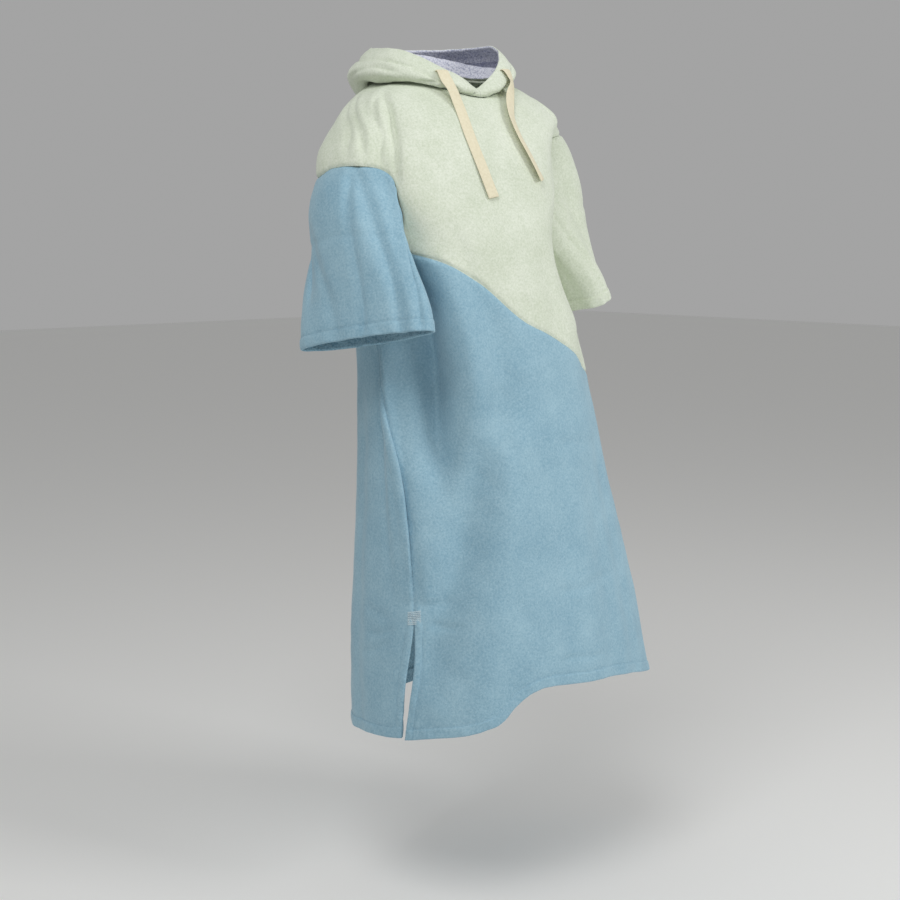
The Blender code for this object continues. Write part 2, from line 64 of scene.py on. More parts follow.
def add(tree, kind, settings=(), links=()):
    """One shader node with its settings (sockets or properties by name) and its links
    (sockets by name, each fed by an output)."""
    made = tree.nodes.new(kind)
    for name, value in dict(settings).items():
        if name in made.inputs:
            made.inputs[name].default_value = value
        else:
            setattr(made, name, value)
    for name, output in dict(links).items():
        tree.links.new(output, made.inputs[name])
    return made


def basic_material(name, settings):
    """Material with its shader's settings by socket name, its nodes and that shader."""
    material = bpy.data.materials.new(name)
    material.use_nodes = True
    shader = material.node_tree.nodes["Principled BSDF"]
    for socket, value in settings.items():
        shader.inputs[socket].default_value = value
    return material, material.node_tree, shader


def plain_object(name, points, faces, materials):
    """Object at the origin with a smooth mesh from points and faces; each face carries the
    index of its material in its group: faces is a list of (array, index)."""
    mesh = bpy.data.meshes.new(name)
    groups = [(np.asarray(group, np.int32), index) for group, index in faces]
    corners = np.concatenate([group.ravel() for group, index in groups])
    sizes = np.concatenate([np.full(len(group), group.shape[1], np.int32) for group, index in groups])
    slots = np.concatenate([np.full(len(group), index, np.int32) for group, index in groups])
    mesh.vertices.add(len(points))
    mesh.vertices.foreach_set("co", np.asarray(points, np.float32).ravel())
    mesh.loops.add(len(corners))
    mesh.loops.foreach_set("vertex_index", corners)
    mesh.polygons.add(len(sizes))
    mesh.polygons.foreach_set("loop_start", (np.cumsum(sizes) - sizes).astype(np.int32))
    mesh.polygons.foreach_set("material_index", slots)
    mesh.polygons.foreach_set("use_smooth", np.ones(len(sizes), bool))
    for material in materials:
        mesh.materials.append(material)
    mesh.update(calc_edges=True)
    mesh.validate()
    made = bpy.data.objects.new(name, mesh)
    bpy.context.scene.collection.objects.link(made)
    return made


turn, tip, pan = np.radians((CAMERA_TURN, LOOKS_DOWN, LOOKS_RIGHT))
sight = np.array([np.sin(turn) * np.cos(tip), np.cos(turn) * np.cos(tip), -np.sin(tip)])
sight = sight * np.cos(pan) + np.array([np.cos(turn), -np.sin(turn), 0.0]) * np.sin(pan)
camera_data = bpy.data.cameras.new("camera")
camera_data.sensor_width = 36.0
camera_data.lens = FOCAL_PIXELS / FRAME_PIXELS * camera_data.sensor_width
camera = bpy.data.objects.new("camera", camera_data)
camera.location = (-np.sin(turn) * CAMERA_REACH, -np.cos(turn) * CAMERA_REACH, CAMERA_HEIGHT)
camera.rotation_euler = Vector(sight).to_track_quat("-Z", "Y").to_euler()
bpy.context.scene.collection.objects.link(camera)
bpy.context.scene.camera = camera

LAMPS = (
    ("name", "place", "aim", "size", "power"),
    ("key", (1.3, -2.9, 0.8), (0.0, 0.0, -0.5), 1.2, 42.0),
    ("overhead", (-1.5, -0.9, 1.8), (0.0, 0.0, -0.3), 1.5, 32.0),
)
for lamp in (dict(zip(LAMPS[0], row)) for row in LAMPS[1:]):
    light = bpy.data.lights.new(lamp["name"], "AREA")
    light.size = lamp["size"]
    light.energy = lamp["power"]
    holder = bpy.data.objects.new(lamp["name"], light)
    holder.location = lamp["place"]
    aim = Vector(lamp["aim"]) - Vector(lamp["place"])
    holder.rotation_euler = aim.to_track_quat("-Z", "Y").to_euler()
    bpy.context.scene.collection.objects.link(holder)
room = bpy.data.worlds.new("room")
room.use_nodes = True
room.node_tree.nodes["Background"].inputs["Color"].default_value = colour("#ffffff")
room.node_tree.nodes["Background"].inputs["Strength"].default_value = 0.37
bpy.context.scene.world = room
bpy.context.scene.view_settings.view_transform = "Standard"

paint = basic_material("matt_white_floor_paint", {"Base Color": colour("#f4f4f2"), "Roughness": 0.9})[0]
corners = [(x, y, FLOOR_HEIGHT) for x, y in ((-FLOOR_REACH, -FLOOR_REACH), (FLOOR_REACH, -FLOOR_REACH),
                                             (FLOOR_REACH, FLOOR_REACH), (-FLOOR_REACH, FLOOR_REACH))]
floor = plain_object("floor", corners, [([(0, 1, 2, 3)], 0)], [paint])

# ------------------------------------------------------------------ drawstring
# One flat cotton twill tape, 20 mm wide, runs in the channel along the hood's edge. Only
# its two ends show: each leaves through a worked buttonhole, hangs on the chest and is
# folded back 12 mm at its end and stitched.
TAPE_WIDTH = 0.020
TAPE_HIDDEN = 0.006         # starts this far inside the channel
TAPE = 0.0016
TAPE_FOLD = 0.012
TAPE_FOLDED = 0.0006        # added to half the thickness over the folded end
TAPE_STITCH = 0.0004        # pressed in along the stitching
TAPE_SWAY = 0.0006          # the tape isn't quite flat along its way
TAPE_BOW = 0.0005           # nor across it
TWILL = 0.00614             # rib spacing, drawn about ten times its real size so that it shows
# Places along each tape: its middle, the way its face looks, and how far
# it is twisted from there, in degrees.
ROUTE = {
    "right": (
        ("x", "y", "z", "face_x", "face_y", "face_z", "twist"),
        (-0.0683, -0.062, 0.0045, -0.184, -0.762, 0.621, 0),
        (-0.0698, -0.0762, -0.0098, -0.24, -0.878, 0.355, 0),
        (-0.0658, -0.0828, -0.022, -0.15, -0.7, 0.673, 0),
        (-0.0617, -0.094, -0.0466, -0.107, -0.734, 0.67, 0),
        (-0.0673, -0.1289, -0.0986, -0.121, -0.865, 0.487, 0),
        (-0.0647, -0.1474, -0.1353, -0.115, -0.915, 0.386, 0),
        (-0.0551, -0.1677, -0.1906, -0.105, -0.943, 0.315, 0),
    ),
    "left": (
        ("x", "y", "z", "face_x", "face_y", "face_z", "twist"),
        (0.0679, -0.0614, 0.0145, 0.116, -0.813, 0.571, 0),
        (0.0713, -0.0752, -0.0043, 0.352, -0.917, 0.187, -9),
        (0.0551, -0.0895, -0.0313, 0.026, -0.708, 0.705, -20),
        (0.0356, -0.1133, -0.062, 0.017, -0.801, 0.599, -23),
        (0.0313, -0.1331, -0.0911, 0.022, -0.854, 0.52, -23),
        (0.0399, -0.1502, -0.1253, 0.057, -0.918, 0.393, -23),
        (0.0555, -0.1617, -0.1622, 0.143, -0.947, 0.289, -22),
    ),
}


def curve(places, values, at):
    """Smooth curve through values at rising places, read where at says: a cubic between
    two neighbours, with slopes averaged from both sides. Values have one axis for the
    places, and the others are those of at."""
    width = np.diff(places)
    i = np.clip(np.searchsorted(places, at, side="right") - 1, 0, len(width) - 1)
    steps = width.reshape((-1,) + (1,) * (values.ndim - 1))
    rise = np.diff(values, axis=0) / steps
    between = (rise[:-1] * steps[1:] + rise[1:] * steps[:-1]) / (steps[1:] + steps[:-1])
    slope = np.concatenate([rise[:1], between, rise[-1:]])
    if values.ndim > 1:
        start, end, leave, arrive = (np.take_along_axis(array, i[None] + step, 0)[0]
                                     for array in (values, slope) for step in (0, 1))
    else:
        start, end, leave, arrive = values[i], values[i + 1], slope[i], slope[i + 1]
    return hermite(start, end, leave * width[i], arrive * width[i], (at - np.array(places)[i]) / width[i])


def column(table, name, at):
    """Value of one column of a table at the given value of its first column, held past
    the table's ends."""
    rows = np.array(table[1:])
    return curve(rows[:, 0], rows[:, table[0].index(name)], np.clip(at, rows[0, 0], rows[-1, 0]))


def hermite(start, end, start_slope, end_slope, share):
    """Cubic from start to end that leaves and arrives with the given slopes."""
    swing = share * share * (3 - 2 * share)
    leave = share * (1 - share) ** 2
    arrive = share * share * (share - 1)
    return start + (end - start) * swing + start_slope * leave + end_slope * arrive


def ease(share):
    """Soft step from 0 to 1."""
    share = np.clip(share, 0.0, 1.0)
    return share * share * (3 - 2 * share)


def unit(vectors):
    """Vectors of length 1 in the same directions."""
    return vectors / np.linalg.norm(vectors, axis=-1, keepdims=True)


def walked(points):
    """Distance along a line of points, from 0 at its first point."""
    return np.concatenate([[0.0], np.cumsum(np.linalg.norm(np.diff(points, axis=0), axis=1))])


def tape_route(side, rows):
    """Middle line of a tape, its face direction and its width direction at evenly spaced
    places, and those places' distances from the buttonhole."""
    route = np.array(ROUTE[side][1:])
    inside = route[0].copy()
    inside[:3] -= TAPE_HIDDEN * inside[3:6]
    route = np.vstack([inside, route])
    length = walked(route[:, :3])
    at = np.linspace(0.0, length[-1], rows)
    curves = [column((("at", "value"), *zip(length, values)), "value", at) for values in route.T]
    curves = np.stack(curves, -1)
    path, face, twist = curves[:, :3], curves[:, 3:6], np.radians(curves[:, 6:])
    along = unit(np.gradient(path, axis=0))
    face = unit(face - (face * along).sum(1)[:, None] * along)
    wide = np.cross(along, face)
    face, wide = face * np.cos(twist) + wide * np.sin(twist), wide * np.cos(twist) - face * np.sin(twist)
    return path, face, wide, at


def tape_mesh(side, material):
    """Tape as a closed tube: at each place of its route a flattened ring, half the width
    times the square root of the cosine across and half the thickness times the sine to
    the power 0.7, thicker over the folded end and pressed in along its stitching."""
    rows, around = 150, 20
    path, face, wide, at = tape_route(side, rows)
    angle = np.arange(around) * 2 * np.pi / around
    across = np.sign(np.cos(angle)) * np.abs(np.cos(angle)) ** 0.5 * TAPE_WIDTH / 2
    over = np.sign(np.sin(angle)) * np.abs(np.sin(angle)) ** 0.7
    end = at[-1] - at
    half = TAPE / 2 + TAPE_FOLDED * (1 - ease((end - TAPE_FOLD) / 0.0015))
    half = half - TAPE_STITCH * np.exp(-((end - TAPE_FOLD * 0.8) / 0.0008) ** 2)
    half = half * np.sqrt(np.clip(1 - (1 - np.minimum(end / 0.001, 1.0)) ** 2, 0.04, 1))
    sway = TAPE_SWAY * np.sin(at / 0.031 + (0.0 if side == "right" else 2.0))
    middle = path + face * sway[:, None]
    bow = TAPE_BOW * (1 - (2 * across / TAPE_WIDTH) ** 2)
    rings = (middle[:, None] + wide[:, None] * across[None, :, None]
             + face[:, None] * (over * half[:, None] + bow)[..., None])
    index = np.arange(rows * around).reshape(rows, around)
    a, b = index[:-1], index[1:]
    quads = np.stack([a, b, np.roll(b, -1, 1), np.roll(a, -1, 1)], -1).reshape(-1, 4)
    caps = [(index[0][None, :], 0), (index[-1][None, ::-1], 0)]
    made = plain_object("drawstring_end_" + side, rings.reshape(-1, 3), [(quads, 0)] + caps, [material])
    turn_outward(made)
    strip = made.data.uv_layers.new(name="weave")
    vertex = np.empty(len(made.data.loops), np.int32)
    made.data.loops.foreach_get("vertex_index", vertex)
    u, v = np.broadcast_arrays(across[None, :], at[:, None])
    places = np.stack([u.ravel()[vertex], v.ravel()[vertex]], -1)
    strip.data.foreach_set("uv", places.astype(np.float32).ravel())
    return made, path[::6]


def turn_outward(made):
    """Flips a closed mesh whose enclosed volume counts as negative."""
    mesh = made.data
    mesh.calc_loop_triangles()
    points = np.empty(len(mesh.vertices) * 3, np.float32)
    mesh.vertices.foreach_get("co", points)
    corners = np.empty(len(mesh.loop_triangles) * 3, np.int32)
    mesh.loop_triangles.foreach_get("vertices", corners)
    a, b, c = points.reshape(-1, 3)[corners.reshape(-1, 3)].transpose(1, 0, 2).astype(float)
    if np.einsum("ij,ij->", a, np.cross(b, c)) < 0:
        mesh.flip_normals()


def tones_and_relief(tree, shader, tones, share, height, strength, distance):
    """Gives a shader its colour, from the first tone at share 0 to the second at 1, and
    its relief from a height."""
    tone = add(tree, "ShaderNodeMix", {"data_type": "RGBA"}, {"Factor": share})
    for socket, code in zip((6, 7), tones):
        tone.inputs[socket].default_value = colour(code)
    relief = add(tree, "ShaderNodeBump", {"Strength": strength, "Distance": distance}, {"Height": height})
    tree.links.new(tone.outputs[2], shader.inputs["Base Color"])
    tree.links.new(relief.outputs["Normal"], shader.inputs["Normal"])


# Undyed cotton twill: matt, creamy, with slanted ribs and a faintly uneven tone.
twill, tree, shader = basic_material("undyed_cotton_twill_tape", {
    "Roughness": 0.85, "Specular IOR Level": 0.25, "Sheen Weight": 0.08})
weave = add(tree, "ShaderNodeUVMap", {"uv_map": "weave"})
bands = 2 * np.pi / (10 * np.sqrt(2) * TWILL)
ribs = add(tree, "ShaderNodeTexWave", {"Scale": bands, "bands_direction": "DIAGONAL", "Distortion": 0.4,
                                       "Detail": 1.0}, {"Vector": weave.outputs["UV"]})
place = add(tree, "ShaderNodeTexCoord")
slubs = add(tree, "ShaderNodeTexNoise", {"Scale": 260.0, "Detail": 3.0}, {"Vector": place.outputs["Object"]})
tones_and_relief(tree, shader, ("#d8cfb0", "#efe8cf"), slubs.outputs["Fac"], ribs.outputs["Fac"],
                 strength=0.35, distance=0.0004)

for side in ("right", "left"):
    made, path = tape_mesh(side, twill)
    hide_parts("drawstring_" + side)
    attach(made, "root")

# ------------------------------------------------------------------ body of the garment
# Four panels cut from cotton velour towelling of about 3 mm: two mint yokes and two blue
# skirts. A wavy seam joins yoke and skirt, plain seams join the sides, and the sides stay
# open below a bar tack. Hems are turned in 17 mm and stitched once.
CLOTH = 0.003
SECTIONS = (
    ("drop", "centre_x", "centre_y", "half_width", "half_depth", "square",
     "z_front", "z_right", "z_left", "z_back", "seam_right", "seam_left"),
    (0, 0, 0.003, 0.09, 0.08, 2, -0.032, -0.008, 0.004, 0.018, -90, 90),
    (0.04, 0, 0.003, 0.13, 0.1, 2.1, -0.054, -0.02, -0.004, 0.002, -90, 90),
    (0.08, 0, -0.002, 0.174, 0.116, 2.1, -0.082, -0.044, -0.024, -0.028, -90, 90),
    (0.12, 0.003, -0.006, 0.216, 0.13, 2.1, -0.112, -0.084, -0.056, -0.064, -90, 90),
    (0.15, 0.001, -0.01, 0.241, 0.138, 2.1, -0.138, -0.122, -0.088, -0.096, -90, 90),
    (0.2, -0.003, -0.018, 0.243, 0.148, 2.1, -0.19, -0.186, -0.148, -0.152, -92, 90),
    (0.27, -0.009, -0.033, 0.206, 0.154, 2.2, -0.258, -0.262, -0.228, -0.232, -92, 90),
    (0.4, 0.003, -0.052, 0.19, 0.158, 2.3, -0.386, -0.395, -0.365, -0.368, -90, 88),
    (0.55, 0.008, -0.064, 0.2, 0.158, 2.3, -0.527, -0.543, -0.515, -0.516, -79, 88),
    (0.75, 0.025, -0.072, 0.232, 0.172, 2.2, -0.708, -0.734, -0.712, -0.714, -69, 90),
    (0.9, 0.038, -0.077, 0.256, 0.184, 2.2, -0.838, -0.876, -0.858, -0.862, -67.5, 90),
    (1.07, 0.052, -0.084, 0.276, 0.191, 2.2, -0.98, -1.033, -1.019, -1.026, -73, 90),
)
FOLDS = (
    ("turn_top", "turn_bottom", "drop_top", "drop_bottom", "fade_top", "fade_bottom", "half_width", "depth"),
    (-60, -54, 0.08, 0.3, 0.06, 0.06, 8, 0.012),  # between chest and right arm
    (54, 46, 0.1, 0.42, 0.07, 0.16, 19, 0.078),  # between chest and left arm
    (66, 67, 0.232, 0.5, 0.06, 0.18, 13, 0.043),  # where the left arm presses
    (48, 42, 0.28, 0.6, 0.12, 0.18, 14, 0.014),  # its lower end
    (-66, -50, 0.24, 0.78, 0.12, 0.3, 11, 0.053),  # valley that the right arm lies in
    (-46, -22, 0.26, 0.76, 0.12, 0.28, 9, -0.012),  # lip in front of that valley
    (-84, -80, 0.28, 0.8, 0.1, 0.24, 5, -0.012),  # ridge along the right side seam
    (-25, -27, 0.32, 0.62, 0.12, 0.12, 8, 0.01),  # trough from the wavy seam down
    (-23, -66, 0.46, 1.02, 0.16, 0.12, 10, 0.02),  # and on to the top of the right slit
    (-12, -44, 0.5, 1.1, 0.2, 0.1, 9, -0.007),  # low ridge left of it
    (28, 12, 0.55, 1.3, 0.2, 0.2, 9, 0.008),  # shallow trough down the left front
    (128, 132, 0.08, 0.36, 0.08, 0.08, 10, 0.018),  # between back and left arm
    (-128, -132, 0.08, 0.36, 0.08, 0.08, 10, 0.011),  # between back and right arm
    (166, 158, 0.4, 1.3, 0.2, 0.2, 13, 0.016),  # long trough in the back skirt
    (-158, -148, 0.5, 1.3, 0.2, 0.2, 11, 0.012),  # shorter one right of it
)
# Smaller soft creases, in the same columns.
CREASES = (
    (-15, -3, 0.19, 0.42, 0.08, 0.06, 4.5, 0.004),  # down the front from the chest
    (10, 14, 0.24, 0.46, 0.1, 0.08, 5.5, 0.003),
    (-34, -30, 0.22, 0.4, 0.08, 0.08, 4, 0.0025),
    (-20, -16, 0.56, 0.76, 0.1, 0.1, 4, 0.003),
    (0, -8, 0.62, 1.2, 0.16, 0.1, 5, 0.0045),
    (40, 30, 0.52, 1.2, 0.14, 0.1, 6, 0.006),
    (54, 50, 0.66, 1.2, 0.14, 0.1, 5, -0.004),
    (72, 68, 0.5, 1.2, 0.12, 0.1, 6, 0.006),
    (-88.5, -69, 0.36, 0.8, 0.06, 0.14, 2.2, -0.006),  # lit edge behind the right side seam
    (-95, -78, 0.38, 0.86, 0.08, 0.14, 3.2, 0.004),
    (-78, -63, 0.56, 0.86, 0.1, 0.06, 3, 0.0035),
    (-112, -104, 0.42, 1.2, 0.16, 0.12, 6, 0.0045),
    (-142, -136, 0.3, 1.2, 0.12, 0.1, 6, 0.0045),
    (-170, -174, 0.26, 0.9, 0.12, 0.14, 5, 0.004),
    (172, 176, 0.52, 1.2, 0.14, 0.1, 5.5, -0.004),
    (148, 140, 0.3, 0.8, 0.12, 0.14, 5, 0.004),
    (120, 116, 0.38, 1.2, 0.14, 0.1, 6.5, 0.006),
    (102, 100, 0.3, 0.64, 0.1, 0.1, 4.5, 0.0035),
    (-136, -144, 0.06, 0.24, 0.05, 0.06, 3.6, 0.0035),
    (140, 148, 0.06, 0.24, 0.05, 0.06, 3.6, 0.0035),
    (180, 178, 0.05, 0.2, 0.04, 0.08, 5, 0.003),
)
# Sharper creases along curved paths: depth and half width in metres, then turn and drop
# of the path's points. Most fan out from the neck over the shoulders to the armholes.
DRAWN = (
    (0.0078, 0.0046, (-88, 0.042), (-66, 0.084), (-57.8, 0.113), (-51.8, 0.141), (-50.5, 0.163), (-51, 0.2)),
    (-0.0036, 0.008, (-92, 0.056), (-72, 0.092), (-63.5, 0.118), (-57.5, 0.145), (-56.5, 0.166)),
    (0.0036, 0.0042, (-84, 0.062), (-75.8, 0.086), (-66, 0.115), (-60.2, 0.134), (-57, 0.168)),
    (0.0066, 0.0052, (-114, 0.062), (-98.5, 0.086), (-80, 0.115), (-71.5, 0.132), (-65, 0.166)),
    (-0.0026, 0.008, (-106, 0.06), (-92, 0.088), (-76, 0.116), (-68, 0.136), (-61.5, 0.164)),
    (0.0058, 0.0056, (-126, 0.068), (-104, 0.098), (-84, 0.125), (-75.5, 0.166)),
    (0.0034, 0.007, (-150, 0.08), (-134, 0.12), (-122, 0.17)),
    (0.0066, 0.005, (84, 0.042), (66, 0.084), (56, 0.113), (50, 0.141), (48, 0.17), (47, 0.205)),
    (-0.0026, 0.0085, (90, 0.056), (72, 0.092), (63, 0.118), (57, 0.145)),
    (0.0044, 0.0055, (112, 0.056), (98, 0.082), (80, 0.108), (72, 0.136)),
    (0.004, 0.006, (136, 0.068), (116, 0.098), (102, 0.122), (94, 0.14)),
    (0.003, 0.0065, (-77, 0.866), (-86, 0.878), (-98, 0.886)),  # from the bar tacks
    (0.0026, 0.006, (-78, 0.884), (-90, 0.906), (-104, 0.922)),
    (0.0024, 0.0055, (-79, 0.85), (-90, 0.846), (-100, 0.838)),
    (0.0022, 0.006, (-62, 0.862), (-54, 0.874), (-44, 0.88)),
    (0.0028, 0.0065, (96, 0.866), (104, 0.88), (114, 0.888)),
    (0.0024, 0.006, (84, 0.862), (76, 0.876), (66, 0.884)),
)
# Faint creases across the cloth from when it lay folded.
PRESSED = (
    ("drop", "turn", "turn_reach", "rise", "half_width", "depth"),
    (0.83, -63, 16, 0.004, 0.007, 0.0022),
    (0.848, 12, 22, -0.006, 0.008, 0.002),
    (0.98, 2, 14, 0.004, 0.006, 0.0016),
    (0.6, 20, 20, 0.006, 0.009, 0.0014),
    (0.59, 180, 40, 0.004, 0.009, 0.0018),
    (0.82, -160, 30, -0.004, 0.008, 0.0018),
    (0.84, 130, 22, 0.006, 0.008, 0.0018),
)
# Drops of each armhole's top and armpit, the degrees of turn that it reaches to the front
# and the back, and how far its upper edge rises in front and falls behind.
ARMHOLES = {
    "right": {"top": 0.17, "armpit": 0.26, "front": 40, "back": 36, "rise": 0.01, "fall": 0.028},
    "left": {"top": 0.142, "armpit": 0.264, "front": 42, "back": 36, "rise": 0.004, "fall": 0.016},
}
SQUARE_OVER_ARM = 4.6
SQUARE_UNDER_ARM = 2.6
# The wavy seam and the hem, from a panel's right edge (share 0) to its left edge.
SEAM = {
    "front": (("share", "drop"), (0, 0.282), (0.195, 0.284), (0.285, 0.302), (0.35, 0.33),
              (0.443, 0.385), (0.545, 0.417), (0.64, 0.449), (0.82, 0.5), (1, 0.53)),
    "back": (("share", "drop"), (0, 0.282), (0.2, 0.3), (0.4, 0.355), (0.6, 0.43),
             (0.8, 0.495), (1, 0.53)),
}
HEM = {
    "front": (("share", "drop"), (0, 1.054), (0.07, 1.055), (0.16, 1.061), (0.2, 1.06),
              (0.235, 1.055), (0.27, 1.031), (0.315, 1.017), (0.355, 1.018), (0.4, 1.025),
              (0.485, 1.031), (0.61, 1.036), (0.76, 1.044), (1, 1.05)),
    "back": (("share", "drop"), (0, 1.05), (0.1, 1.053), (0.2, 1.061), (0.35, 1.063),
             (0.5, 1.06), (1, 1.05)),
}
SLIT_TOP = 0.86
SLIT = (("share", "gape"), (0.0, 0.0), (0.45, 3.0), (1.0, 1.6))
HEM_TURN = 0.017            # stitched this far above the edge
SLIT_TURN = 0.012
SEAM_DIP = 0.0022           # the cloth rolls in at a seam
SEAM_REACH = 0.0030
STITCH_DIP = 0.0013
STITCH_REACH = 0.0016
UNEVEN = ((0.0009, 0.11), (0.00035, 0.037))     # height and size of the cloth's waves
SEAM_PUCKER = (0.0006, 0.019, 0.012)            # the same near a seam, and how far it goes
HEM_PUCKER = (0.0009, 0.023)                    # the same over a turned hem
ALLOWANCE = 0.007           # width of the seam allowance inside
ALLOWANCE_RISE = 0.0014
TURNED_OVER = 0.0075        # the turned hem goes on this far above its stitching
TURNED_RISE = 0.0018
EDGE_ROUND = 0.0024
# Distances of a grid's rows from a seam with its stitching, from a seam and from the edge
# of a hem: the rows are closer where the cloth bends.
CLOSE = (0.0, 0.0007, 0.0016, 0.0028, 0.0045, 0.007, 0.0098, 0.0112, 0.012, 0.0128, 0.0145)
SEWN = (0.0, 0.0007, 0.0016, 0.0028, 0.0045, 0.0070)
HEMMED = (0.0, 0.0002, 0.0007, 0.0014, 0.0024, 0.0048, 0.0085, 0.0125, 0.0152, 0.0163, 0.0170, 0.0177, 0.0188,
          0.0215, 0.0238, 0.0248, 0.0268)


def swung(degrees):
    """The same angle between -180 and 180 degrees."""
    return (degrees + 180.0) % 360.0 - 180.0


def folds(rows, turn, drop):
    """Sum of folds: each a bell across its path, which leans from its top to its bottom
    turn, faded in and out along it."""
    total = np.zeros(np.shape(turn))
    for row in rows:
        fold = dict(zip(FOLDS[0], row))
        share = (drop - fold["drop_top"]) / (fold["drop_bottom"] - fold["drop_top"])
        path = fold["turn_top"] + (fold["turn_bottom"] - fold["turn_top"]) * np.clip(share, 0, 1)
        start = ease((drop - fold["drop_top"]) / fold["fade_top"])
        end = ease((fold["drop_bottom"] - drop) / fold["fade_bottom"])
        total += fold["depth"] * np.exp(-(swung(turn - path) / fold["half_width"]) ** 2) * start * end
    return total


def fold_depth(turn, drop):
    """Sum of all folds and creases of the body; a pressed crease is a bell across the
    drop, faded to both sides."""
    total = folds(FOLDS[1:] + CREASES, turn, drop)
    for row in PRESSED[1:]:
        crease = dict(zip(PRESSED[0], row))
        away = swung(turn - crease["turn"]) / crease["turn_reach"]
        off = (drop - crease["drop"] - crease["rise"] * np.sin(3 * away)) / crease["half_width"]
        total = total + crease["depth"] * np.exp(-off ** 2) * ease(2 - 2 * np.abs(away))
    return total


def body_point(turn, drop):
    """Point of the body's cloth: its ring's superellipse, its height blended between the
    four sides by the squares of sine and cosine, then the folds pushed in."""
    turn, drop = np.broadcast_arrays(np.asarray(turn, float), np.asarray(drop, float))
    ring = {name: column(SECTIONS, name, drop) for name in SECTIONS[0][1:10]}
    sine, cosine = np.sin(np.radians(turn)), np.cos(np.radians(turn))
    reach = (np.abs(sine) ** ring["square"] + np.abs(cosine) ** ring["square"]) ** (-1 / ring["square"])
    side = np.stack([sine / ring["half_width"], -cosine / ring["half_depth"]], -1)
    inward = -unit(side) * fold_depth(turn, drop)[..., None]
    x = ring["centre_x"] + ring["half_width"] * reach * sine + inward[..., 0]
    y = ring["centre_y"] - ring["half_depth"] * reach * cosine + inward[..., 1]
    fore = np.where(cosine > 0, ring["z_front"], ring["z_back"])
    flank = np.where(sine > 0, ring["z_left"], ring["z_right"])
    return np.stack([x, y, fore * cosine ** 2 + flank * sine ** 2], -1)


def armhole_place(side, around):
    """Turn and drop on the armhole; around is 0 on the shoulder, +90 in front, 180 under
    the arm and -90 behind."""
    hole = ARMHOLES[side]
    sine, cosine = np.sin(np.radians(around)), np.cos(np.radians(around))
    square = np.where(cosine > 0, SQUARE_OVER_ARM, SQUARE_UNDER_ARM)
    reach = (np.abs(sine) ** square + np.abs(cosine) ** square) ** (-1 / square)
    drop = (hole["top"] + hole["armpit"] - (hole["armpit"] - hole["top"]) * reach * cosine) / 2
    lean = np.where(sine > 0, hole["rise"], hole["fall"])
    drop = drop - lean * sine * np.maximum(cosine, 0.0)
    forward = 1.0 if side == "right" else -1.0
    span = np.where(sine > 0, hole["front"], hole["back"])
    return column(SECTIONS, "seam_" + side, drop) + forward * span * reach * sine, drop


def outward(surface, first, second, step, flip=1.0):
    """Unit normal of a surface of two parameters, by central differences."""
    across = surface(first + 0.25, second) - surface(first - 0.25, second)
    along = surface(first, second + step) - surface(first, second - step)
    return flip * unit(np.cross(along, across))


def body_normal(turn, drop):
    """Outward direction of the body's cloth."""
    return outward(body_point, turn, drop, 0.001)


def edge_turns(face, drop):
    """Turns of a panel's right and left edge, apart from the armholes; the back panel
    stands off the side seams by the gape of the slits."""
    right = column(SECTIONS, "seam_right", drop)
    left = column(SECTIONS, "seam_left", drop)
    if face == "front":
        return right, left
    gape = column(SLIT, "gape", (drop - SLIT_TOP) / (1.054 - SLIT_TOP))
    return right - gape, left - 360.0 + gape


def across_panel(face, share, drop):
    """Turn at a share of the way from a panel's right edge to its left edge."""
    right, left = edge_turns(face, drop)
    return right + (left - right) * share


def along(length, spacing, start=(0.0,), end=(0.0,)):
    """Shares from 0 to 1 over a length: the given distances from either end, and even
    steps of the spacing between them."""
    steps = int(round((length - start[-1] - end[-1]) / spacing)) + 1
    between = np.linspace(start[-1], length - end[-1], steps)
    return np.concatenate([start[:-1], between, length - np.array(end[:-1])[::-1]]) / length


SHOULDER = along(0.11, 0.0036, CLOSE)
MIDDLE = {"front": along(0.36, 0.0042, SEWN, SEWN), "back": along(0.36, 0.0046, SEWN, SEWN)}
CORNER = 0.2                # share of a panel's width that lies under a shoulder
ARMHOLE = along(0.20, 0.0042)


def panel_shares(face):
    """Shares of a panel's columns: those under the shoulders, then those between."""
    return np.concatenate([SHOULDER[:-1] * CORNER, CORNER + MIDDLE[face] * (1 - 2 * CORNER),
                           1 - SHOULDER[-2::-1] * CORNER])


def armholes(face, around, order=1):
    """Turns and drops of a panel's edge at the right and the left armhole, the left one
    in the order of the right one (1) or against it (-1)."""
    around = around if face == "front" else -around
    turn, drop = armhole_place("left", around[::order])
    return armhole_place("right", around), (turn - (0.0 if face == "front" else 360.0), drop)


def armhole_row(face, start, end):
    """Turn and drop of the row that runs along both armholes from the shoulder or side
    seam (start, in degrees around) to the corner (end) and straight between them."""
    right, left = armholes(face, start + (end - start) * SHOULDER, -1)
    between = MIDDLE[face][1:-1]
    return tuple(np.concatenate([a, a[-1] + (b[0] - a[-1]) * between, b]) for a, b in zip(right, left))


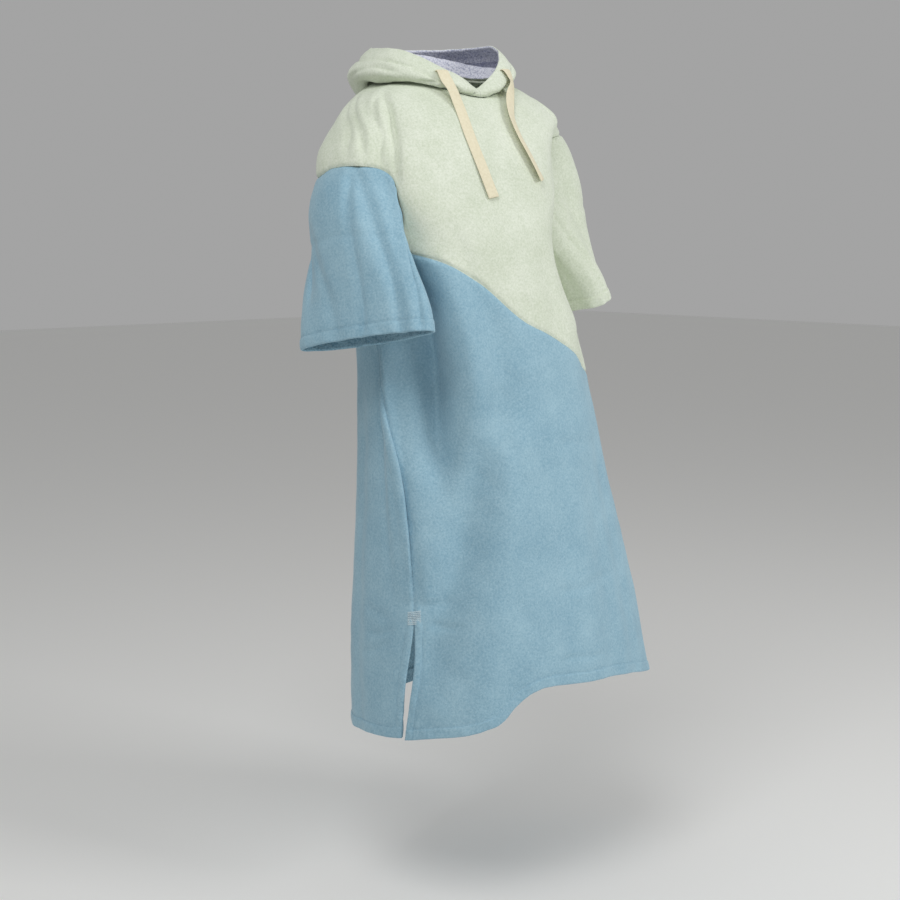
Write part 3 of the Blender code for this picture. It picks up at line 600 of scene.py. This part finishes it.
def yoke_grids(face):
    """Turn and drop of a yoke in three grids: over the armholes, between them and below
    them, the last one ending at the wavy seam."""
    shares = panel_shares(face)
    neck = (across_panel(face, shares, 0.0), np.zeros(len(shares)))
    seam = column(SEAM[face], "drop", shares)
    bottom = (across_panel(face, shares, seam), seam)
    upper, lower = along(0.17, 0.0036, SEWN, SEWN)[:, None], along(0.12, 0.0038, SEWN, SEWN)[:, None]
    over, under = armhole_row(face, 0.0, 45.0), armhole_row(face, 180.0, 135.0)
    right, left = armholes(face, 45.0 + 90.0 * ARMHOLE)
    return [tuple(a + (b - a) * upper for a, b in zip(neck, over)),
            tuple(a[:, None] + (b - a)[:, None] * MIDDLE[face] for a, b in zip(right, left)),
            tuple(a + (b - a) * lower for a, b in zip(under, bottom))]


def skirt_grids(face):
    """Turn and drop of a skirt, from the wavy seam past the tops of the slits to the hem."""
    shares = panel_shares(face)
    seam = column(SEAM[face], "drop", shares)
    hem = column(HEM[face], "drop", shares)
    above = seam + (SLIT_TOP - seam) * along(0.45, 0.0050, SEWN)[:, None]
    below = SLIT_TOP + (hem - SLIT_TOP) * along(0.19, 0.0046, (0.0,), HEMMED)[1:, None]
    drop = np.concatenate([above, below])
    return [(across_panel(face, shares, drop), drop)]


def weld(grids):
    """Points, normals and quads of grids that share their border points: equal points are
    counted once."""
    points = np.concatenate([place.reshape(-1, 3) for place, normal in grids])
    normals = np.concatenate([normal.reshape(-1, 3) for place, normal in grids])
    quads, start = [], 0
    for place, normal in grids:
        index = start + np.arange(place.shape[0] * place.shape[1]).reshape(place.shape[:2])
        corners = index[:-1, :-1], index[1:, :-1], index[1:, 1:], index[:-1, 1:]
        quads.append(np.stack(corners, -1).reshape(-1, 4))
        start += index.size
    first, back = np.unique(np.round(points * 1e6).astype(np.int64), axis=0, return_index=True,
                            return_inverse=True)[1:]
    return points[first], normals[first], back.ravel()[np.concatenate(quads)]


def border(quads, count):
    """Directed edges that only one quad uses."""
    edges = np.concatenate([quads[:, [i, (i + 1) % 4]] for i in range(4)])
    codes = edges[:, 0] * count + edges[:, 1]
    return edges[~np.isin(edges[:, 1] * count + edges[:, 0], codes)]


def near(points, lines):
    """Distance of each point from the nearest of some polylines: the nearest point of the
    lines is found first, then the two straight pieces that meet there are measured."""
    best = np.full(len(points), 9.0)
    for line in lines:
        for part in np.array_split(np.arange(len(points)), max(1, len(points) * len(line) // 4000000)):
            here = points[part]
            i = ((here[:, None] - line[None]) ** 2).sum(-1).argmin(1)
            for a, b in ((np.maximum(i - 1, 0), i), (i, np.minimum(i + 1, len(line) - 1))):
                piece = line[b] - line[a]
                share = ((here - line[a]) * piece).sum(1) / np.maximum((piece ** 2).sum(1), 1e-12)
                foot = line[a] + piece * np.clip(share, 0, 1)[:, None]
                best[part] = np.minimum(best[part], np.linalg.norm(here - foot, axis=1))
    return best


def ripple(points, size):
    """Gentle unevenness of about unit height: three sine waves of the size across each
    other, each bent by a longer one."""
    x, y, z = points.T * 2 * np.pi / size
    bend = 1.3 * np.sin(0.31 * x + 0.7) + 1.1 * np.sin(0.27 * z - 0.4)
    waves = x + 0.6 * z + bend, 0.9 * y - 0.8 * z + bend, 0.7 * z + 0.5 * x - bend
    return sum(np.sin(wave) for wave in waves) / 3


def sides(points, seams, hems, slits, hem_turn, rise, lift):
    """Offsets along the normal of the cloth's outer and inner side from its middle surface.
    The outer side dips by a bell at each seam, swells over a turned hem and is pressed in
    along the stitching; the inner side steps in over the turned hem and over the seam
    allowance; free edges are rounded by a circle."""
    count = len(points)
    to_seam = near(points, seams)
    to_hem = near(points, hems) if hems else np.full(count, 9.0)
    to_slit = near(points, slits) if slits else np.full(count, 9.0)
    middle = sum(height * ripple(points, size) for height, size in UNEVEN)
    middle = middle - SEAM_DIP * np.exp(-(to_seam / SEAM_REACH) ** 2)
    height, size, reach = SEAM_PUCKER
    middle = middle + height * ripple(points, size) * np.exp(-(to_seam / reach) ** 2)
    if lift is not None:
        middle = middle + lift(points)
    outer = np.full(count, CLOTH / 2)
    inner = outer + ALLOWANCE_RISE * (1 - ease((to_seam - ALLOWANCE) / 0.002)) * ease(to_seam / 0.002)
    height, size = HEM_PUCKER
    for to_edge, turn_in in ((to_hem, hem_turn), (to_slit, SLIT_TURN)):
        outer = outer + rise * (1 - ease((to_edge - turn_in + 0.001) / 0.003))
        outer = outer - STITCH_DIP * np.exp(-((to_edge - turn_in) / STITCH_REACH) ** 2)
        inner = inner + TURNED_RISE * (1 - ease((to_edge - turn_in - TURNED_OVER) / 0.001))
        middle = middle + height * ripple(points, size) * (1 - ease(to_edge / (turn_in * 1.8)))
    edge = np.minimum(np.minimum(to_hem, to_slit) / EDGE_ROUND, 1.0)
    around = np.sqrt(np.clip(1 - (1 - edge) ** 2, 0.004, 1))
    return middle + outer * around, middle - inner * around


def at_distance(place, start, end, lines, distance):
    """Values between start and end at which place(value) is at the distance from the
    lines: found by halving, where the distance falls towards the end."""
    low, high = np.array(start, float), np.array(end, float)
    for _ in range(14):
        middle = (low + high) / 2
        far = near(place(middle), lines) > distance
        low, high = np.where(far, middle, low), np.where(far, high, middle)
    return (low + high) / 2


def stitches(name, lines, material, length=0.0030, gap=0.0010, thread=0.0007):
    """Sewing stitches along lines of points and normals: short threads, each a six-sided
    rod that swells by the root of 1 - u^4 and bows up by 1 - u^2 along its length u."""
    steps = np.array([-1.0, -0.88, -0.4, 0.4, 0.88, 1.0])
    angle = np.arange(6) * np.pi / 3
    swell = np.sqrt(np.clip(1 - steps ** 4, 0.03, 1)) * thread / 2
    places, faces, start = [], [], 0
    for points, normals in lines:
        way = walked(points)
        number = max(1, int(way[-1] / (length + gap)))
        centre = (np.arange(number) + 0.5) * way[-1] / number
        spot, up, ahead, behind = (
            np.stack([np.interp(centre + step, way, values) for values in array.T], -1)
            for array, step in ((points, 0.0), (normals, 0.0), (points, 0.001), (points, -0.001)))
        forward = unit(ahead - behind)
        across = unit(np.cross(up, forward))
        rods = (spot[:, None, None] + forward[:, None, None] * (steps * length / 2)[None, :, None, None]
                + across[:, None, None] * (swell[:, None] * np.cos(angle))[None, ..., None]
                + up[:, None, None] * (swell[:, None] * np.sin(angle) + 0.25 * thread
                                       * (1 - steps[:, None] ** 2))[None, ..., None])
        index = start + np.arange(number * 36).reshape(number, 6, 6)
        a, b = index[:, :-1], index[:, 1:]
        faces.append(np.stack([a, np.roll(a, -1, 2), np.roll(b, -1, 2), b], -1).reshape(-1, 4))
        places.append(rods.reshape(-1, 3))
        start += number * 36
    rings = np.arange(start).reshape(-1, 6, 6)
    faces = [(np.concatenate(faces), 0), (rings[:, 0, ::-1], 0), (rings[:, -1], 0)]
    made = plain_object(name, np.concatenate(places), faces, [material])
    turn_outward(made)
    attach(made, "root")
    return made


def cloth(name, grids, seams, hems, materials, slits=(), hem_turn=HEM_TURN, rise=0.0010, lift=None,
          sewn=(), thread=None):
    """Closed cloth from its middle surface's grids and the offsets of its two sides, with
    its stitching: sewn lists the lines of points and normals on the middle surface."""
    points, normals, quads = weld(grids)
    count = len(points)
    outer, inner = sides(points, seams, hems, slits, hem_turn, rise, lift)
    both = np.concatenate([points + normals * outer[:, None], points + normals * inner[:, None]])
    if sewn:
        lines = []
        for line, facing in sewn:
            height = sides(line, seams, hems, slits, hem_turn, rise, lift)[0] + 0.0003
            lines.append((line + facing * height[:, None], facing))
        stitches(name + "_stitching", lines, thread)
    rim = border(quads, count)
    rim = np.stack([rim[:, 1], rim[:, 0], rim[:, 0] + count, rim[:, 1] + count], -1)
    made = plain_object(name, both, [(quads, 0), (quads[:, ::-1] + count, 1), (rim, 0)], materials)
    turn_outward(made)
    return made


def towelling(name, low, high, loops, bump):
    """Cotton towelling of a low and a high tone. Sheared loops (velour) give a short even
    nap: matt, softly mottled, with a pale bloom at grazing light; its hairs are drawn as
    3 mm tufts so that they show. Loops of a size in millimetres give a knobbly surface. The
    tone follows the relief's height: the hollows between tufts and the gaps between loops
    are painted darker, as shade; the broad patches of tone are random."""
    material, tree, shader = basic_material(name, {
        "Roughness": 0.93, "Specular IOR Level": 0.2, "Sheen Weight": 0.22, "Sheen Roughness": 0.45,
        "Sheen Tint": colour("#f2f6f4")})
    place = {"Vector": add(tree, "ShaderNodeTexCoord").outputs["Object"]}
    brushed = add(tree, "ShaderNodeTexNoise", {"Scale": 16.0, "Detail": 3.0, "Roughness": 0.55}, place)
    if loops:
        knobs = add(tree, "ShaderNodeTexVoronoi", {"Scale": 1000.0 / loops, "feature": "SMOOTH_F1"}, place)
        height = add(tree, "ShaderNodeMath", {"operation": "SUBTRACT"}, {1: knobs.outputs["Distance"]})
        height.inputs[0].default_value = 1.0
        height_and_shade = height.outputs[0]
    else:
        nap = add(tree, "ShaderNodeTexNoise", {"Scale": 300.0, "Detail": 3.0, "Roughness": 0.7}, place)
        height_and_shade = nap.outputs["Fac"]
    # The same height that makes the relief also sets the tone: its low places carry painted shade.
    weight = add(tree, "ShaderNodeMath", {"operation": "MULTIPLY_ADD"}, {0: height_and_shade, 2: brushed.outputs["Fac"]})
    weight.inputs[1].default_value = 2.0
    spread = add(tree, "ShaderNodeMapRange", {"From Min": 1.1, "From Max": 1.9}, {"Value": weight.outputs[0]})
    tones_and_relief(tree, shader, (low, high), spread.outputs[0], height_and_shade, bump, 0.0012)
    return material


# Each tone pair spans random mottling and the painted shade in the low places of the nap and loops.
mint = towelling("mint_cotton_velour", "#ccd5c0", "#e4eadb", 0.0, 0.5)
mint_loops = towelling("mint_cotton_terry", "#b9c3ae", "#dce3d2", 2.2, 0.8)
blue = towelling("blue_cotton_velour", "#87adc0", "#a3c5d4", 0.0, 0.5)
blue_loops = towelling("blue_cotton_terry", "#739bb0", "#97bccd", 2.2, 0.8)


def sewing_thread(name, code):
    """Matt spun thread of one colour."""
    return basic_material(name, {"Base Color": colour(code), "Roughness": 0.8})[0]


mint_thread = sewing_thread("mint_polyester_thread", "#dfe6d3")
blue_thread = sewing_thread("blue_polyester_thread", "#9fc2d2")


shares = np.linspace(0.0, 1.0, 400)
all_turns = np.linspace(-180.0, 180.0, 500)
seam_lines = {"neck": body_point(all_turns, 0.0)}
for face in ("front", "back"):
    drops = column(SEAM[face], "drop", shares)
    seam_lines["wave_" + face] = body_point(across_panel(face, shares, drops), drops)
for side in ("right", "left"):
    seam_lines["armhole_" + side] = body_point(*armhole_place(side, all_turns))
    drops = np.linspace(ARMHOLES[side]["armpit"], SLIT_TOP, 320)
    seam_lines["side_" + side] = body_point(column(SECTIONS, "seam_" + side, drops), drops)


def hem_line(face):
    """Points along a panel's hem."""
    drops = column(HEM[face], "drop", shares)
    return body_point(across_panel(face, shares, drops), drops)


def slit_line(face, edge):
    """Points down a panel's right (edge 0) or left (edge 1) edge below the bar tack."""
    drops = np.linspace(SLIT_TOP + 0.001, HEM[face][-1 if edge else 1][1], 120)
    return body_point(across_panel(face, edge, drops), drops)


def drawn(points, surface, rows):
    """Sum of creases along drawn paths: each a bell across its path, faded in over the
    first quarter of the path and out over the last."""
    total = np.zeros(len(points))
    for depth, half_width, *places in rows:
        at = np.linspace(0, len(places) - 1, 160)
        tables = ((("at", "value"), *enumerate(values)) for values in zip(*places))
        line = surface(*(column(table, "value", at) for table in tables))
        close = np.where(((points > line.min(0) - 0.03) & (points < line.max(0) + 0.03)).all(1))[0]
        away = ((points[close, None] - line) ** 2).sum(-1)
        share = away.argmin(1) / (len(line) - 1)
        bell = np.exp(-away.min(1) / half_width ** 2)
        total[close] -= depth * bell * ease(4 * share) * ease(4 - 4 * share)
    return total


def seam_fold(points):
    """Fold of the back panel that stands along the right side seam: it rises over its
    width and drops at the seam, and its width shrinks to nothing above the bar tack."""
    top, reach, height = -0.26, 0.54, 0.0050
    to_seam = near(points, [seam_lines["side_right"]])
    down = np.clip((top - points[:, 2]) / reach, 0.0, 1.0)
    width = 0.006 + 0.020 * (1 - down)
    rise = 1 - ease((to_seam - 0.003) / width)
    return height * rise * ease(to_seam / 0.003) * ease(down / 0.12) * ease((1 - down) / 0.15)


def placed(surface, normal, first, second):
    """Points of a surface and its directions there."""
    return surface(first, second), normal(first, second)


def dress(made, node, slot, flat, area):
    """Takes a solid's place with its cloth; its flat cut, width by length, is not used."""
    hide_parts(node)
    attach(made, "root")


on_body = partial(placed, body_point, body_normal)
# Flat cuts: the panels laid on the table, width by length, and the cloth in each.
CUTS = {
    "front_yoke": ((0.62, 0.53), 0.23), "back_yoke": ((0.62, 0.55), 0.235),
    "front_skirt": ((0.68, 0.79), 0.41), "back_skirt": ((0.76, 0.8), 0.49),
}
for face in ("front", "back"):
    names = "neck", "armhole_right", "armhole_left", "wave_" + face, "side_right", "side_left"
    seams = [seam_lines[name] for name in names]
    made = cloth(face + "_yoke_cloth", [on_body(*grid) for grid in yoke_grids(face)], seams, [],
                 [mint, mint_loops], lift=partial(drawn, surface=body_point, rows=DRAWN))
    dress(made, face + "_yoke", "mint_towelling", *CUTS[face + "_yoke"])
    hem, slits = hem_line(face), [slit_line(face, edge) for edge in (0, 1)]
    hem_share = np.linspace(0.016, 0.984, 420)
    end = column(HEM[face], "drop", hem_share)
    drops = at_distance(lambda drop: body_point(across_panel(face, hem_share, drop), drop), end - 0.06, end,
                        [hem], HEM_TURN)
    sewn = [on_body(across_panel(face, hem_share, drops), drops)]
    for edge, inward in ((0, 0.08), (1, -0.08)):
        drops = np.linspace(SLIT_TOP + 0.012, HEM[face][1][1] - 0.020, 60)
        at = at_distance(lambda value: body_point(across_panel(face, edge + inward * value, drops), drops),
                         np.ones(60), np.zeros(60), [slits[edge]], SLIT_TURN)
        sewn.append(on_body(across_panel(face, edge + inward * at, drops), drops))
    made = cloth(face + "_skirt_cloth", [on_body(*grid) for grid in skirt_grids(face)], seams[3:], [hem],
                 [blue, blue_loops], slits=slits, sewn=sewn, thread=blue_thread,
                 lift=lambda points: drawn(points, body_point, DRAWN) + (face == "back") * seam_fold(points))
    dress(made, face + "_skirt", "blue_towelling", *CUTS[face + "_skirt"])

# Bar tacks: a close zigzag patch of pale blue thread over the side seam ends at each slit.
TACK_WIDTH = 0.020
TACK_HEIGHT = 0.021
TACK_ROWS = 8
TACK_STITCHES = 16
tack_thread = sewing_thread("pale_blue_polyester_thread", "#d6e6ec")


def patch(surface, normal, first, second, across, along, height):
    """Points and normals on a surface at distances across and along from a place, lifted
    by a height: distances are turned into parameters by the surface's local speeds."""
    here = surface(np.array([first, first + 0.5, first]), np.array([second, second, second + 0.002]))
    speed = np.linalg.norm(here[1] - here[0]) / 0.5, np.linalg.norm(here[2] - here[0]) / 0.002
    a, b = first + across / speed[0], second + along / speed[1]
    facing = normal(a, b)
    return surface(a, b) + facing * height, facing


for side in ("right", "left"):
    row, step = np.meshgrid(np.arange(TACK_ROWS), np.arange(TACK_STITCHES + 1), indexing="ij")
    across = (step / TACK_STITCHES - 0.5) * TACK_WIDTH
    down = (row + 0.5 + 0.42 * (-1.0) ** step) / TACK_ROWS * TACK_HEIGHT - TACK_HEIGHT
    middle = float(column(SECTIONS, "seam_" + side, SLIT_TOP))
    place, facing = patch(body_point, body_normal, middle, SLIT_TOP + 0.001, across, down, CLOTH / 2 + 0.0003)
    tacks = [(place[i, j:j + 2], facing[i, j:j + 2]) for i in range(TACK_ROWS) for j in range(TACK_STITCHES)]
    stitches("bar_tack_" + side, tacks, tack_thread, length=0.0026, gap=0.0, thread=0.0009)

# ------------------------------------------------------------------ sleeves
# Two short wide sleeves of the same towelling, set into dropped armholes: the right one
# blue, the left one mint. Each is one tube with a seam under the arm; its cuff is turned
# in 19 mm and stitched once.
SLEEVES = {
    "right": {"cuff": (-0.2405, -0.088, -0.404), "out": (-0.03, -0.033, 0.01),
              "fore": (0.0425, -0.1035, 0.017), "flare": (0.46, -0.05, 0.04, 0.84)},
    "left": {"cuff": (0.251, -0.015, -0.36), "out": (0.046, 0, 0.018),
             "fore": (-0.004, -0.11, 0), "flare": (0.44, 0.45, -0.1, 0.1)},
}
LAP_FROM = 42.0             # the sleeve is sewn edge to edge over the shoulder and lies
LAP_TO = 70.0               # over the body below; degrees around the armhole
LAP = 0.0039
CUFF_TURN = 0.019
# Creases of the sleeves, in the folds' columns, with degrees around for turns and shares
# of the way down for drops.
SLEEVE_CREASES = {
    "right": (
        (22, -4, 0, 1.05, 0.1, 0.1, 3.6, 0.006),
        (26, 34, -0.1, 1.1, 0.16, 0.16, 6, 0.0075),
        (36, 36, 0.1, 0.6, 0.14, 0.14, 3, -0.003),
        (60, 54, 0.2, 1.1, 0.2, 0.2, 6, 0.004),
        (-30, -24, 0.2, 1.2, 0.2, 0.2, 7, 0.004),
        (-62, -56, 0, 0.8, 0.16, 0.16, 6, 0.005),
        (120, 128, 0.1, 1.2, 0.16, 0.16, 9, 0.004),
        (-130, -120, 0.1, 1.2, 0.16, 0.16, 9, 0.004),
    ),
    "left": (
        (40, 52, 0, 1.1, 0.16, 0.16, 6, 0.005),
        (12, 18, 0.1, 1.2, 0.16, 0.16, 5, 0.0035),
        (-30, -26, 0, 1.2, 0.16, 0.16, 6, 0.005),
        (-66, -58, 0, 0.9, 0.16, 0.16, 6, 0.005),
        (80, 88, 0.2, 1.2, 0.16, 0.16, 7, 0.004),
        (130, 134, 0.1, 1.2, 0.16, 0.16, 9, 0.004),
    ),
}
SLEEVE_PRESSED = {"right": 0.43, "left": 0.46}
SLEEVE_FLIP = {"right": 1.0, "left": -1.0}      # sense of the outward normals


def lap(around):
    """How far the sleeve lies over the body: 0 over the shoulder, 1 under the arm."""
    return ease((np.abs(swung(around)) - LAP_FROM) / (LAP_TO - LAP_FROM))


def smooth_sleeve(side, around, share):
    """Point of a sleeve between its armhole (share 0) and its cuff (share 1): a cubic that
    leaves the armhole along the arm with some flare and reaches the cuff along the arm."""
    sleeve = SLEEVES[side]
    around, share = np.broadcast_arrays(np.asarray(around, float), np.asarray(share, float))
    place = armhole_place(side, around)
    start = body_point(*place) + body_normal(*place) * (lap(around)[..., None] * LAP)
    middle = body_point(*armhole_place(side, np.arange(-180.0, 180.0, 10.0))).mean(0)
    out, fore, centre = (np.array(sleeve[name]) for name in ("out", "fore", "cuff"))
    arm = unit(np.cross(out, fore))
    arm = arm if arm[2] < 0 else -arm
    sine, cosine = np.sin(np.radians(around))[..., None], np.cos(np.radians(around))[..., None]
    cuff = centre + cosine * out + sine * fore
    away = start - middle
    away = unit(away - (away @ arm)[..., None] * arm)
    parts = zip(sleeve["flare"], (cosine, sine, -cosine, -sine))
    flare = sum(flare * np.maximum(part, 0.0) ** 2 for flare, part in parts)
    length = np.linalg.norm(cuff - start, axis=-1, keepdims=True)
    return hermite(start, cuff, unit(arm + flare * away) * length, arm * length, share[..., None])


def sleeve_point(side, around, share):
    """Point of the sleeve's cloth: its creases are pushed in, and one shallow pressed
    crease, a bell across the share, goes all round."""
    around, share = np.broadcast_arrays(np.asarray(around, float), np.asarray(share, float))
    pressed = (share - SLEEVE_PRESSED[side] - 0.01 * np.sin(around / 17.0)) / 0.022
    depth = 0.0014 * np.exp(-pressed ** 2) + folds(SLEEVE_CREASES[side], around, share)
    facing = outward(partial(smooth_sleeve, side), around, share, 0.006, SLEEVE_FLIP[side])
    return smooth_sleeve(side, around, share) - facing * depth[..., None]


def sleeve_normal(side, around, share):
    """Outward direction of the sleeve's cloth."""
    return outward(partial(sleeve_point, side), around, share, 0.004, SLEEVE_FLIP[side])


SLEEVE_CLOTH = {"right": ("blue_towelling", blue, blue_loops, blue_thread),
                "left": ("mint_towelling", mint, mint_loops, mint_thread)}
quarter = 45.0 * SHOULDER
half = np.concatenate([quarter[:-1], 45.0 + 90.0 * ARMHOLE[:-1], 180.0 - quarter[::-1]])
around = np.concatenate([half, -half[-2:0:-1], [0.0]])
ring = np.linspace(-180.0, 180.0, 300)
for side in ("right", "left"):
    slot, outside, inside, thread = SLEEVE_CLOTH[side]
    surface = partial(sleeve_point, side)
    on_sleeve = partial(placed, surface, partial(sleeve_normal, side))
    cuff = surface(all_turns, 1.0)
    under = surface(180.0, np.linspace(0.0, 1.0, 160))
    shares = at_distance(partial(surface, ring), np.full(300, 0.7), np.ones(300), [cuff], CUFF_TURN)
    made = cloth("sleeve_" + side + "_cloth", [on_sleeve(around, along(0.22, 0.0042, SEWN, HEMMED)[:, None])],
                 [seam_lines["armhole_" + side], under], [cuff], [outside, inside], hem_turn=CUFF_TURN,
                 sewn=[on_sleeve(ring, shares)], thread=thread)
    dress(made, "sleeve_" + side, slot, (0.54, 0.28), 0.130)

# ------------------------------------------------------------------ hood
# Two halves of mint velour, joined over the crown, with a pale lavender terry inside. The
# hood lies back on the shoulders; its edge is folded to a 29 mm channel for the tape.
HOOD = (
    ("turn", "top_r", "top_z", "low_r", "low_z", "out_r", "out_z", "rim_r", "rim_z"),
    (0, 0.0775, 0.003, 0.0755, 0.006, 0.073, 0.009, 0.067, 0.013),
    (20, 0.082, 0.006, 0.085, 0.005, 0.086, 0.011, 0.073, 0.026),
    (45, 0.09, 0.01, 0.097, 0.002, 0.101, 0.012, 0.081, 0.035),
    (70, 0.098, 0.014, 0.113, 0.001, 0.123, 0.016, 0.092, 0.044),
    (95, 0.102, 0.018, 0.124, -0.001, 0.143, 0.019, 0.105, 0.053),
    (120, 0.102, 0.022, 0.13, -0.002, 0.153, 0.014, 0.116, 0.05),
    (150, 0.098, 0.024, 0.138, -0.04, 0.163, -0.004, 0.121, 0.042),
    (180, 0.096, 0.024, 0.142, -0.085, 0.17, -0.028, 0.122, 0.037),
)
HOOD_SHARES = (0.0, 0.22, 0.5, 0.75, 1.0)
HOOD_TILT = 0.004           # rim higher at the wearer's left and lower at the right
CHANNEL = 0.029
CHANNEL_SWELL = 0.0014      # over the tape, CHANNEL_TAPE from the rim
CHANNEL_TAPE = 0.014
CHANNEL_DIP = 0.0028        # along its stitching
CHANNELED = (0.0, 0.0002, 0.0007, 0.0014, 0.0024, 0.0055, 0.010, 0.0145, 0.019, 0.0225, 0.0255, 0.0275,
             0.0285, 0.0295, 0.0305, 0.0325)



def hood_point(turn, share):
    """Point of the hood between the neck seam (share 0) and the rim (share 1): a smooth
    curve through the five places that the table gives at each turn."""
    turn, share = np.broadcast_arrays(np.asarray(turn, float), np.asarray(share, float))
    base = body_point(turn, 0.0)
    base_radius = np.hypot(base[..., 0], base[..., 1])
    places = {"r": [base_radius], "z": [np.zeros_like(turn)]}
    for name in HOOD[0][1:]:
        places[name[-1]].append(column(HOOD, name, np.abs(swung(turn))))
    radius, height = (curve(HOOD_SHARES, np.array(places[name]), share) for name in "rz")
    height = height + HOOD_TILT * np.sin(np.radians(turn)) * share
    stretch = radius / base_radius
    return np.stack([base[..., 0] * stretch, base[..., 1] * stretch, base[..., 2] + height], -1)


def hood_normal(turn, share):
    """Outward direction of the hood's cloth."""
    return outward(hood_point, turn, share, 0.005, -1.0)


rim_line = hood_point(all_turns, 1.0)
on_hood = partial(placed, hood_point, hood_normal)
# Creases of the lying hood: depth and half width in metres, then turn and share of the
# path's points. A second roll lies under the channel, and each tape's exit puckers it.
HOOD_DRAWN = (
    (0.0048, 0.0042, (-132, 0.64), (-120, 0.7), (-102.8, 0.77), (-92, 0.782), (-80, 0.735), (-70, 0.69)),
    (0.004, 0.004, (-64, 0.56), (-56, 0.6), (-49, 0.66), (-44, 0.73)),
    (-0.0018, 0.006, (-118, 0.62), (-100, 0.68), (-84, 0.67), (-66, 0.62)),
    (0.0024, 0.004, (-36, 0.52), (-31, 0.62), (-29, 0.74)),
    (0.004, 0.0042, (136, 0.65), (120, 0.705), (104, 0.76), (88, 0.76), (74, 0.7)),
    (0.0034, 0.004, (62, 0.56), (54, 0.61), (47, 0.69)),
    (0.0022, 0.0045, (168, 0.56), (158, 0.64), (150, 0.72)),
)


def channel_lift(points):
    """Height of the hood's channel: pressed in along its stitching, swollen over the
    tape inside it. The lying hood's creases are added."""
    to_rim = near(points, [rim_line])
    swell = CHANNEL_SWELL * np.exp(-((to_rim - CHANNEL_TAPE) / 0.010) ** 2)
    dip = CHANNEL_DIP * np.exp(-((to_rim - CHANNEL) / 0.0026) ** 2)
    return swell - dip + drawn(points, hood_point, HOOD_DRAWN)


lavender = towelling("lavender_cotton_terry", "#a9adc2", "#dcdee9", 2.6, 1.0)
crown = hood_point(180.0, np.linspace(0.0, 1.0, 200))
for side, flip in (("right", -1.0), ("left", 1.0)):
    turns = flip * 180.0 * along(0.40, 0.0042, (0.0,), SEWN)
    grid = on_hood(turns, along(0.21, 0.004, SEWN, CHANNELED)[:, None])
    ring = flip * np.linspace(3.0, 178.0, 300)
    shares = at_distance(partial(hood_point, ring), np.full(300, 0.5), np.ones(300), [rim_line], CHANNEL)
    made = cloth("hood_" + side + "_cloth", [grid], [seam_lines["neck"], crown], [rim_line], [mint, lavender],
                 hem_turn=0.5, rise=0.0, lift=channel_lift, sewn=[on_hood(ring, shares)], thread=mint_thread)
    dress(made, "hood_" + side, "mint_towelling", (0.34, 0.24), 0.058)

# Buttonholes: for each end of the tape, close radial stitches of mint thread worked all round
# an oval across the channel; the slit itself is not cut, and the cloth stays whole inside.
HOLE_REACH = 0.0105         # half the slit's length
HOLE_OPEN = 0.0016
HOLE_STITCHES = 60
round_it = np.arange(HOLE_STITCHES) * 2 * np.pi / HOLE_STITCHES
reach = np.array([[0.0], [0.0027]])
for side, turn in (("right", -44.0), ("left", 44.0)):
    place, facing = patch(hood_point, hood_normal, turn, 0.90, (HOLE_REACH + reach) * np.cos(round_it),
                          (HOLE_OPEN + reach) * np.sin(round_it), CLOTH / 2 + 0.0010)
    threads = [(place[:, i], facing[:, i]) for i in range(HOLE_STITCHES)]
    stitches("buttonhole_" + side, threads, mint_thread, length=0.0028, gap=0.0, thread=0.0010)
